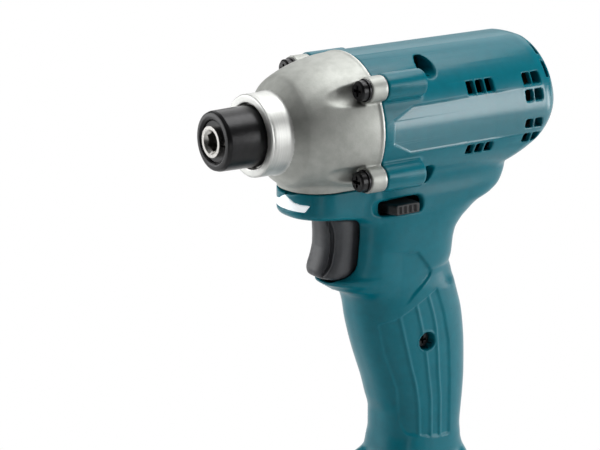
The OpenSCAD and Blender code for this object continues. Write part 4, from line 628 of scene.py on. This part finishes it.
cast_alloy = finish("cast_aluminium", (191, 193, 188), (177, 179, 174), 0.58, 1.0, grain=1400, bump=0.22)
turned_alloy = finish("machined_aluminium", (221, 222, 219), (203, 204, 201), 0.5, 1.0, (5000, 30, 30),
                      bump=0.05)
case_step = 0.4
case_low = (-0.62, -29.02, -24.62)
x, y, z = span(case_low, (42.4, 29.02, 27.4), case_step)
radius = np.hypot(y, z)
case_len, case_front_r, joint_r, swell = 27.7, 19.9, 26, 2.2
u = np.clip(x / case_len, 0, 1)
cone = (radius - case_front_r - (joint_r - case_front_r) * (1 - u ** swell)) * 0.94
shoulder = ((x - case_len) * 4.5 + (radius - case_front_r) * 4.7) / 6.51
cone = round_cross(cone, shoulder, 0.35)
cone = soft_join(cone, np.hypot(x - 0.7, radius - 25.5) - 0.75, 0.8)
skirt_top, skirt_rim = -18.4, -22.2
skirt = np.maximum(chin_plan(x, y, z), z - skirt_top)
casting = soft_join(cone, skirt, 1.6)
ear_sites = [(side * ear_y, up * ear_z) for side in (-1, 1) for up in (-1, 1)]
ear_len, scoop_r = 7, 5.5
for sy, sz in ear_sites:
    off = np.hypot(y - sy, z - sz)
    casting = soft_join(casting, round_cross(off - ear_r, x - ear_len, 0.4), 1.2)
nose_r, nose_len = 15.1, 41.4
nose = np.maximum(radius - nose_r, (x - nose_len + radius - nose_r + 0.4) * 0.7)
nose = np.maximum(np.maximum(nose, x - nose_len), -(np.hypot(x - 40.3, radius - nose_r - 0.1) - 0.36))
casting = soft_join(casting, nose, 0.6)
for sy, sz in ear_sites:
    off = np.hypot(y - sy, z - sz)
    scoop = np.maximum(off - scoop_r, ear_len - x)
    casting = np.maximum(soft_cut(casting, scoop, 0.5), -(off - thread_r))
room = np.maximum(radius - 22.15, x - 5)
for r, first, last in ((20.6, -9, 19), (18.2, -9, 25.5), (10.55, -9, 38.7), (12, 38.6, 60)):
    room = np.minimum(room, np.maximum(np.maximum(radius - r, x - last), first - x))
casting = round_cross(casting, skirt_rim - z, 0.6)
casting = np.maximum(np.maximum(casting, -room), 0.02 - x)
case_piece = field_piece("hammer_case_casting", casting, case_low, case_step, cast_alloy, most=150000)
case_piece.data.materials.append(turned_alloy)
turned_from, turned_to = 32.2, 0.9
for face in case_piece.data.polygons:
    at = np.array(face.center) * 1000 - joint_mm
    face.material_index = int(at[0] > turned_from or at[0] < turned_to)
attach(case_piece, "tool")
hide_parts("hammer_case")

# Case screws
# Four black steel screws with washers under their heads, driven back through the ears of the case into the
# ridges of the housing.

case_screws = screw_set("case_screw_set", [(ear_len, sy, sz) for sy, sz in ear_sites],
                        (0.0, math.pi / 2, 0.0), (3.7, 2.8, 0.6, 4.2, 0.7, 2, 20, 4.2, 1.1, 1.3))
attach(case_screws, "tool")
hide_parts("case_screws")

# Bit sleeve
# A turned steel sleeve, blackened, that slides forward on the anvil against a spring to free the bit. It is
# plain outside, a little narrower towards its mouth.


def rounded(corners):
    """An outline of corners (along, radius, rounding) with short arcs in place of its corners."""
    points = []
    for i, (a, b, r) in enumerate(corners):
        here = Vector((a, b))
        if not r:
            points.append(here)
            continue
        to = [(Vector(corners[(i + k) % len(corners)][:2]) - here).normalized() for k in (-1, 1)]
        half_turn = math.acos(max(-1, min(1, to[0].dot(to[1])))) / 2
        hub = here + (to[0] + to[1]).normalized() * r / math.sin(half_turn)
        rims = [here + t * r / math.tan(half_turn) - hub for t in to]
        points += [hub + rims[0].slerp(rims[1], k / 4) for k in range(5)]
    return points


def turned_piece(name, corners, material, steps=96):
    """A piece turned about the tool axis from a closed outline of corners."""
    ring = rounded(corners)
    turns = [2 * math.pi * k / steps for k in range(steps)]
    points = np.array([(a, b * math.sin(t), b * math.cos(t)) for t in turns for a, b in ring])
    n = len(ring)
    faces = [(k * n + i, k * n + (i + 1) % n, (k + 1) % steps * n + (i + 1) % n, (k + 1) % steps * n + i)
             for k in range(steps) for i in range(n)]
    piece = mesh_piece(name, points, faces, material)
    piece.data.set_sharp_from_angle(angle=math.radians(40))
    return piece


sleeve = turned_piece("bit_sleeve_turned", [
    (40.4, 7.6, 0.2), (40.4, 10.9, 0.5), (41.9, 11, 0.8), (55.2, 10.52, 0.6), (56, 9.9, 0.3), (56, 8.8, 0.15),
    (55.7, 8.6, 0.1), (46.3, 8.6, 0), (46.3, 6.2, 0.2), (42.7, 6.2, 0.2), (42.7, 7.6, 0)], black_steel)
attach(sleeve, "bit_sleeve")
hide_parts("bit_sleeve")

# Trigger
# A moulded nylon lever that slides back into the grip. Its front is hollowed for the finger and rounded
# across, and a thin line along each side marks where its two mouldings meet.

trigger_step = 0.3
trigger_low = (-2.55, -10.05, -59.1)
x, y, z = span(trigger_low, (16.5, 10.05, -32.4), trigger_step)
trigger_w, groove_half, groove_depth = 8.7, 0.6, 1.1
face_line = [(-60, 8.5), (-58.2, 9.5), (-57.2, 12), (-56, 13.6), (-54.4, 14), (-52.6, 13.6), (-50.5, 12.8),
             (-48, 12), (-45, 11.4), (-42, 11.3), (-38, 11.5), (-32, 12.2)]
face_x = between(z, *np.array(face_line).T)
trigger = block(x - face_x, y, 0 * z, (-40, -trigger_w, -9), (0, trigger_w, 9), 7.6)
sides = block(0 * x, y, z, (-9, -trigger_w, -57.7), (9, trigger_w, -33.6), 3.2)
trigger = np.maximum(round_cross(trigger, sides, 0.8), -1.5 - x)
groove_line = [(-60, 15), (-53.8, 11.8), (-51.2, 10.4), (-47.8, 9.5), (-45.3, 9.05), (-41.5, 8.95),
               (-38, 9.4), (-35.2, 10.3), (-32, 11.4)]
groove = np.abs(x - between(z, *np.array(groove_line).T)) - groove_half
groove = np.maximum(np.maximum(groove, -groove_depth - trigger), 4.5 - np.abs(y))
trigger = soft_cut(trigger, groove, 0.2)
trigger_piece = field_piece("trigger_moulding", trigger, trigger_low, trigger_step, trigger_nylon, most=60000)
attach(trigger_piece, "trigger")
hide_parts("trigger")

# Reversing lever
# A black moulded cross bar that pokes out of both sides above the trigger and swings on a pin in the neck.
# Shallow grooves across its tips give the thumb a hold.

lever_step = 0.35
lever_low = (-40.15, -22.05, -34.05)
x, y, z = span(lever_low, (-7.5, 22.05, -27.5), lever_step)
lever_mid, lever_half, pin_x = -30.9, 2, -34
lever_line = [(-20, -20.5), (-9.6, -20.5), (-8.4, -17), (-8.8, 0), (-8.4, 17), (-9.6, 20.5), (-20, 20.5),
              (-20.4, 17), (-20.2, 0), (-20.4, -17)]
plan = outline(x[:, :, 0], y[:, :, 0], lever_line)[:, :, None]
off_mid, from_pin = np.abs(z - lever_mid), np.hypot(x - pin_x, y)
lever = round_cross(plan, off_mid - lever_half, 0.7)
arm = np.minimum(from_pin - 5, block(x, y, 0 * z, (pin_x, -3.5, -9), (-15, 3.5, 9)))
lever = soft_join(lever, round_cross(arm, off_mid - lever_half, 0.4), 0.6)
lever = soft_cut(lever, from_pin - 2.6, 0.3)
for gx in (-17.6, -15.4, -13.2, -11):
    groove = np.maximum(np.hypot(x - gx, np.abs(y) - 20.7) - 0.75, off_mid - 1.3)
    lever = soft_cut(lever, groove, 0.2)
lever_piece = field_piece("reversing_lever_moulding", lever, lever_low, lever_step, black_plastic, most=50000)
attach(lever_piece, "reversing_lever")
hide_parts("reversing_lever")

# Light lens
# A clear acrylic strip that wraps round the front of the chin and spreads the light of two small lamps
# behind it. It is lit.

lit_lens = finish("lit_lens", (238, 242, 244), (226, 232, 236), 0.2)
lit = lit_lens.node_tree.nodes["Principled BSDF"].inputs
lit["Emission Color"].default_value = (0.93, 0.97, 1, 1)
lit["Emission Strength"].default_value = 0.45
lens_step = 0.25
lens_low = (20.1, -17.05, -30.1)
x, y, z = span(lens_low, (28.6, 17.05, -22.6), lens_step)
side = chin_plan(x, y, z)
lens = round_cross(np.maximum(side, -side - lens_t), lens_side(x, y, z), 0.25)
lens_piece = field_piece("light_lens_strip", lens, lens_low, lens_step, lit_lens, most=40000)
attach(lens_piece, "tool")
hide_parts("light_lens")

# Light board
# A small glass-fibre board that stands on edge in the chin, behind the lens. Two small lamps on its front
# shine into the lens.

board_step = 0.25
board_low = (21.6, -8.05, -29.1)
x, y, z = span(board_low, (26.1, 8.05, -23.6), board_step)
light_board = block(x, y, z, (22.6, -5.8, -28.3), (24, 5.8, -25.4), 0.2)
for side in (-1, 1):
    dome = np.maximum(np.hypot(y - side * 4.4, z + 26.6) - 1.2, np.maximum(x - 24.9, 23.5 - x))
    light_board = np.minimum(light_board, dome)
board_piece = field_piece("light_board_assembly", light_board, board_low, board_step, finishes["board"],
                          most=20000)
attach(board_piece, "tool")
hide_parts("light_board")

# Battery
# A slide-on pack of ten cells in two black mouldings, screwed together from below. The upper one carries the
# tongue with its rails and the slots of the contacts, and a red button at the front works the latch.

pack_step = 0.6
pack_mm = np.zeros(3)
pack_len, pack_w, pack_h, pack_split, pack_wall = 116, 74, 43, 24, 2.6
cavity_front = 45.2


def pack_body(x, y, z, inset=0.0):
    """Distance to the outside of the pack, rounded at its corners and along its edges."""
    plan = block(x, y, 0 * z, (-pack_len / 2, -pack_w / 2, -9), (pack_len / 2, pack_w / 2, 9), 7) + inset
    return round_cross(plan, np.abs(z - pack_h / 2) - pack_h / 2 + inset, 2)


def pack_room(x, y, z, low, high):
    """Distance to the room inside the pack's walls, from one height to another."""
    return block(x, y, z, (-pack_len / 2 + pack_wall, -pack_w / 2 + pack_wall, low),
                 (cavity_front, pack_w / 2 - pack_wall, high), 1)


def pack_grip(body, x, y, z):
    """The pack with long grooves on its sides and upright ribs across its rear."""
    for gz in (8, 13, 34):
        groove = np.maximum(np.hypot(z - gz, body) - 0.8, np.abs(x) - 44)
        body = soft_cut(body, groove, 0.3)
    for gy in range(-24, 25, 6):
        groove = np.maximum(np.hypot(y - gy, body) - 0.9, np.maximum(x + 50, np.abs(z - 21) - 12))
        body = soft_cut(body, groove, 0.3)
    return body


pack_sites = [(sx, sy) for sx in (-53.4, 53.4) for sy in (-33, 33)]
post_r, split_gap = 3.6, 0.08
pack_low = (-59.3, -38.3, -0.9)
x, y, z = span(pack_low, (59.3, 38.3, pack_split + 0.9), pack_step)
body = pack_body(x, y, z)
lower = pack_grip(body, x, y, z)
lower = np.maximum(lower, -pack_room(x, y, z, pack_wall, 60))
for sx, sy in pack_sites:
    off = np.hypot(x - sx, y - sy)
    lower = np.minimum(lower, np.maximum(off - post_r, np.maximum(body, 1 - z)))
    lower = soft_cut(lower, np.minimum(np.maximum(off - 2.8, z - 3), off - 1.6), 0.2)
lower = round_cross(lower, z - pack_split + split_gap, 0.4)
lower_piece = field_piece("battery_case_lower", lower, pack_low, pack_step, black_plastic, 120000, pack_mm)
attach(lower_piece, "battery")
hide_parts("battery_lower_case")

pack_low = (-59.3, -38.3, pack_split - 0.9)
x, y, z = span(pack_low, (59.3, 38.3, 56.3), pack_step)
upper = pack_grip(pack_body(x, y, z), x, y, z)
upper = soft_join(upper, block(x, y, z, (-43, -22, 35), (44, 22, 55), 0.8), 0.8)
upper = soft_join(upper, block(x, y, z, (-43, -26, 50), (44, 26, 55), 0.8), 0.6)
tongue_room = block(x, y, z, (-40.8, -19.8, 30), (41.8, 19.8, 52.8), 0.6)
cavity = np.minimum(pack_room(x, y, z, -60, pack_h - pack_wall), tongue_room)
upper = np.maximum(upper, -cavity)
for sy in (-8, 8):
    upper = soft_cut(upper, block(x, y, z, (-60, sy - 1.3, 46), (9, sy + 1.3, 70), 0.3), 0.3)
upper = soft_cut(upper, block(x, y, z, (46, -12.4, 24.9), (70, 12.4, 70), 0.6), 0.4)
for sx, sy in pack_sites:
    upper = np.minimum(upper, np.maximum(np.hypot(x - sx, y - sy) - post_r, pack_body(x, y, z, 0.6)))
upper = round_cross(upper, pack_split + split_gap - z, 0.4)
upper_piece = field_piece("battery_case_upper", upper, pack_low, pack_step, black_plastic, 150000, pack_mm)
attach(upper_piece, "battery")
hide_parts("battery_upper_case")

pack_screws = screw_set("battery_screw_set", [(sx, sy, 3) for sx, sy in pack_sites],
                        (math.pi, 0.0, 0.0), (2.6, 1.5, 0.3, 2.6, 0.1, 1.5, 31, 2.8, 0.8, 0.8), pack_mm)
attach(pack_screws, "battery")
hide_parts("battery_screws")

red_nylon = finish("red_nylon", (170, 34, 30), (154, 28, 25), 0.42, grain=2600)
button_step = 0.4
button_low = (45.5, -13.1, 28.1)
x, y, z = span(button_low, (59.6, 13.1, 48.4), button_step)
button = block(x, y, z, (46.4, -12, 29), (58.6, 12, 42.6), 1.2)
button = soft_cut(button, np.hypot(x - 73, z - 38) - 15.2, 0.5)
for gz in (31.6, 34, 36.4, 38.8):
    groove = np.hypot(z - gz, np.maximum(x - 57.4, 0)) - 0.6
    button = soft_cut(button, np.maximum(groove, np.maximum(57 - x, np.abs(y) - 9)), 0.2)
nib = np.maximum(block(x, y, z, (46.4, -8, 38), (49.4, 8, 47.4), 0.5), (z - 47.4 + (x - 47.4) * 0.9) * 0.74)
button = soft_join(button, nib, 0.5)
button_piece = field_piece("battery_release_button", button, button_low, button_step, red_nylon, 40000,
                           pack_mm)
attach(button_piece, "battery_button")
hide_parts("battery_button")

# Springs
# Coil springs of bright steel wire behind the hammer, the sleeve, the trigger and the latch button. Each
# is wound at full length in its place and moves with the body it hangs on.

wire_sides, wire_steps, play = 10, 28, 0.15
for node, joint, body, wire, turns, along, fixed in (
        ("hammer_spring", "hammer_slide", "spindle", 1.3, 2.75, 0, 23.1),
        ("sleeve_spring", "sleeve_slide", "anvil", 0.45, 2.5, 0, 86),
        ("trigger_spring", "trigger_pull", "tool", 0.4, 4, 0, 24),
        ("latch_spring", "button_press", "battery", 0.35, 3, 2, 24.6)):
    low, high = (np.array(corner) * 1000 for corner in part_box(node))
    one, two = [axis for axis in range(3) if axis != along]
    mean_r = max(high[one] - low[one], high[two] - low[two]) / 2 - wire
    rings = round(turns * wire_steps) + 1
    wound = np.linspace(0, 2 * math.pi * turns, rings)
    ring = np.arange(wire_sides) * 2 * math.pi / wire_sides
    centre = low[along] + wire + (high[along] - low[along] - 2 * wire) * np.linspace(0, 1, rings)
    reach = mean_r + wire * np.cos(ring)[None, :]
    points = np.zeros((rings, wire_sides, 3))
    points[:, :, along] = centre[:, None] + wire * np.sin(ring)[None, :]
    points[:, :, one] = (low[one] + high[one]) / 2 + reach * np.cos(wound)[:, None]
    points[:, :, two] = (low[two] + high[two]) / 2 + reach * np.sin(wound)[:, None]
    faces = [(k + i, k + (i + 1) % wire_sides, k + wire_sides + (i + 1) % wire_sides, k + wire_sides + i)
             for k in range(0, (rings - 1) * wire_sides, wire_sides) for i in range(wire_sides)]
    faces += [tuple(range(wire_sides))[::-1], tuple(range((rings - 1) * wire_sides, rings * wire_sides))]
    coil = mesh_piece(f"{node}_coil", points.reshape(-1, 3), faces, bright_steel, np.zeros(3))
    coil.data.validate()
    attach(coil, body)
    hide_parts(node)
    seat = np.where(np.arange(3) == along, fixed / 1000, 0.0)
    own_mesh(coil)

# Floor, light and camera
# The tool stands on its battery on plain pale paper that runs out to white. Soft boxes light it from its
# left, from ahead and from above, with a strip at its rear and a small card low down, as for a catalogue.

floor_half = 4.0
floor_mesh = bpy.data.meshes.new("floor")
corners = [(x, y, 0) for x, y in ((-1, -1), (1, -1), (1, 1), (-1, 1))]
floor_mesh.from_pydata(np.multiply(corners, floor_half).tolist(), [], [(0, 1, 2, 3)])
floor = bpy.data.objects.new("floor", floor_mesh)
bpy.context.scene.collection.objects.link(floor)


def combine(tree, operation, a, b):
    """One number from two outputs."""
    return put(tree, "ShaderNodeMath", {0: a, 1: b}, operation=operation)[0]


def measure(tree, place, operation, low, high, towards=(0, 0, 0)):
    """From 0 to 1 as a place's distance, or its share of a direction, goes from low to high."""
    reach = put(tree, "ShaderNodeVectorMath", {0: place, 1: towards}, operation=operation)["Value"]
    return put(tree, "ShaderNodeMapRange", {"Value": reach, "From Min": low, "From Max": high},
               interpolation_type="SMOOTHSTEP")["Result"]


def rays(tree):
    """1 for rays of the camera, and 1 for those and the ones of mirrors and through glass."""
    path = put(tree, "ShaderNodeLightPath", {})
    seen = path["Is Camera Ray"]
    for kind in ("Is Glossy Ray", "Is Transmission Ray"):
        seen = combine(tree, "MAXIMUM", seen, path[kind])
    return path["Is Camera Ray"], seen


def mix(tree, share, first, second):
    """One shader that gives way to another by a share."""
    return put(tree, "ShaderNodeMixShader", {0: share, 1: first, 2: second})["Shader"]


paper = bpy.data.materials.new("white_paper")
paper.use_nodes = True
tree = paper.node_tree
shader = tree.nodes["Principled BSDF"]
shader.inputs["Base Color"].default_value = (0.75, 0.75, 0.75, 1)
shader.inputs["Roughness"].default_value = 0.9
place = put(tree, "ShaderNodeTexCoord", {})["Object"]
camera_ray, seen = rays(tree)
runs_out = combine(tree, "MULTIPLY", measure(tree, place, "LENGTH", 0.1, 0.2),
                   measure(tree, place, "DOT_PRODUCT", -0.15, 0.1, (-0.57, -0.79, 0)))
far_off = measure(tree, place, "LENGTH", 0.3, 0.9)
bare = combine(tree, "MAXIMUM", combine(tree, "MULTIPLY", seen, runs_out),
               combine(tree, "MULTIPLY", camera_ray, far_off))
glow = put(tree, "ShaderNodeEmission", {})["Emission"]
tree.links.new(mix(tree, bare, shader.outputs["BSDF"], glow), tree.nodes["Material Output"].inputs["Surface"])
floor_mesh.materials.append(paper)

# Room: dim, with a white backdrop behind the tool; the camera sees white all round
world = bpy.data.worlds.new("studio")
bpy.context.scene.world = world
world.use_nodes = True
tree = world.node_tree
dim = tree.nodes["Background"]
dim.inputs["Color"].default_value = (1, 1, 1, 1)
dim.inputs["Strength"].default_value = 0.08
dark, white = (put(tree, "ShaderNodeBackground", {"Color": (1, 1, 1, 1), "Strength": strength})["Background"]
               for strength in (0.045, 1))
place = put(tree, "ShaderNodeTexCoord", {})["Generated"]
camera_ray, seen = rays(tree)
backdrop = measure(tree, place, "DOT_PRODUCT", 0.9, 0.985, (-0.566, -0.79, -0.223))
bare = combine(tree, "MAXIMUM", combine(tree, "MULTIPLY", seen, backdrop), camera_ray)
unlit = mix(tree, seen, dim.outputs["Background"], dark)
tree.links.new(mix(tree, bare, unlit, white), tree.nodes["World Output"].inputs["Surface"])

aim_drop = 40
aim_at = Vector(joint_mm - (0, 0, aim_drop)) / 1000


def soft_box(name, bearing, rise, far, wide, tall, power):
    """A large soft lamp at a bearing from straight ahead and a rise in degrees, that faces the tool."""
    lamp = bpy.data.lights.new(name, "AREA")
    lamp.shape, lamp.size, lamp.size_y, lamp.energy = "RECTANGLE", wide, tall, power
    holder = bpy.data.objects.new(name, lamp)
    b, r = math.radians(bearing), math.radians(rise)
    towards = Vector((math.cos(b) * math.cos(r), math.sin(b) * math.cos(r), math.sin(r)))
    holder.location = aim_at + far * towards
    holder.rotation_euler = (aim_at - holder.location).to_track_quat("-Z", "Y").to_euler()
    bpy.context.scene.collection.objects.link(holder)


soft_box("left_box", 131, 8, 0.9, 0.5, 0.45, 3.2)
soft_box("rear_strip", 160, 0, 0.9, 0.22, 0.26, 0.9)
soft_box("front_box", -44, 16, 0.9, 0.8, 0.75, 5.5)
soft_box("low_card", 66, -7, 0.7, 0.1, 0.16, 0.14)
soft_box("top_box", 228, 42, 0.9, 0.9, 0.8, 3.6)
soft_box("over_box", 160, 72, 0.8, 0.5, 0.5, 3.6)

camera = bpy.data.cameras.new("camera")
camera.lens, camera.sensor_width, camera.sensor_fit = 151.11, 36, "HORIZONTAL"
camera.clip_start, camera.clip_end = 0.05, 50
from_joint = (0.522703, 0.728952, 0.205820)
aim_from_joint = (0.019126, 0, -0.036251)
camera_place = Vector(joint_mm / 1000) + Vector(from_joint)
camera_aim = Vector(joint_mm / 1000) + Vector(aim_from_joint)
camera_object = bpy.data.objects.new("camera", camera)
camera_object.location = camera_place
camera_object.rotation_euler = (camera_aim - camera_place).to_track_quat("-Z", "Y").to_euler()
bpy.context.scene.collection.objects.link(camera_object)
bpy.context.scene.camera = camera_object
bpy.context.scene.view_settings.view_transform = "Standard"
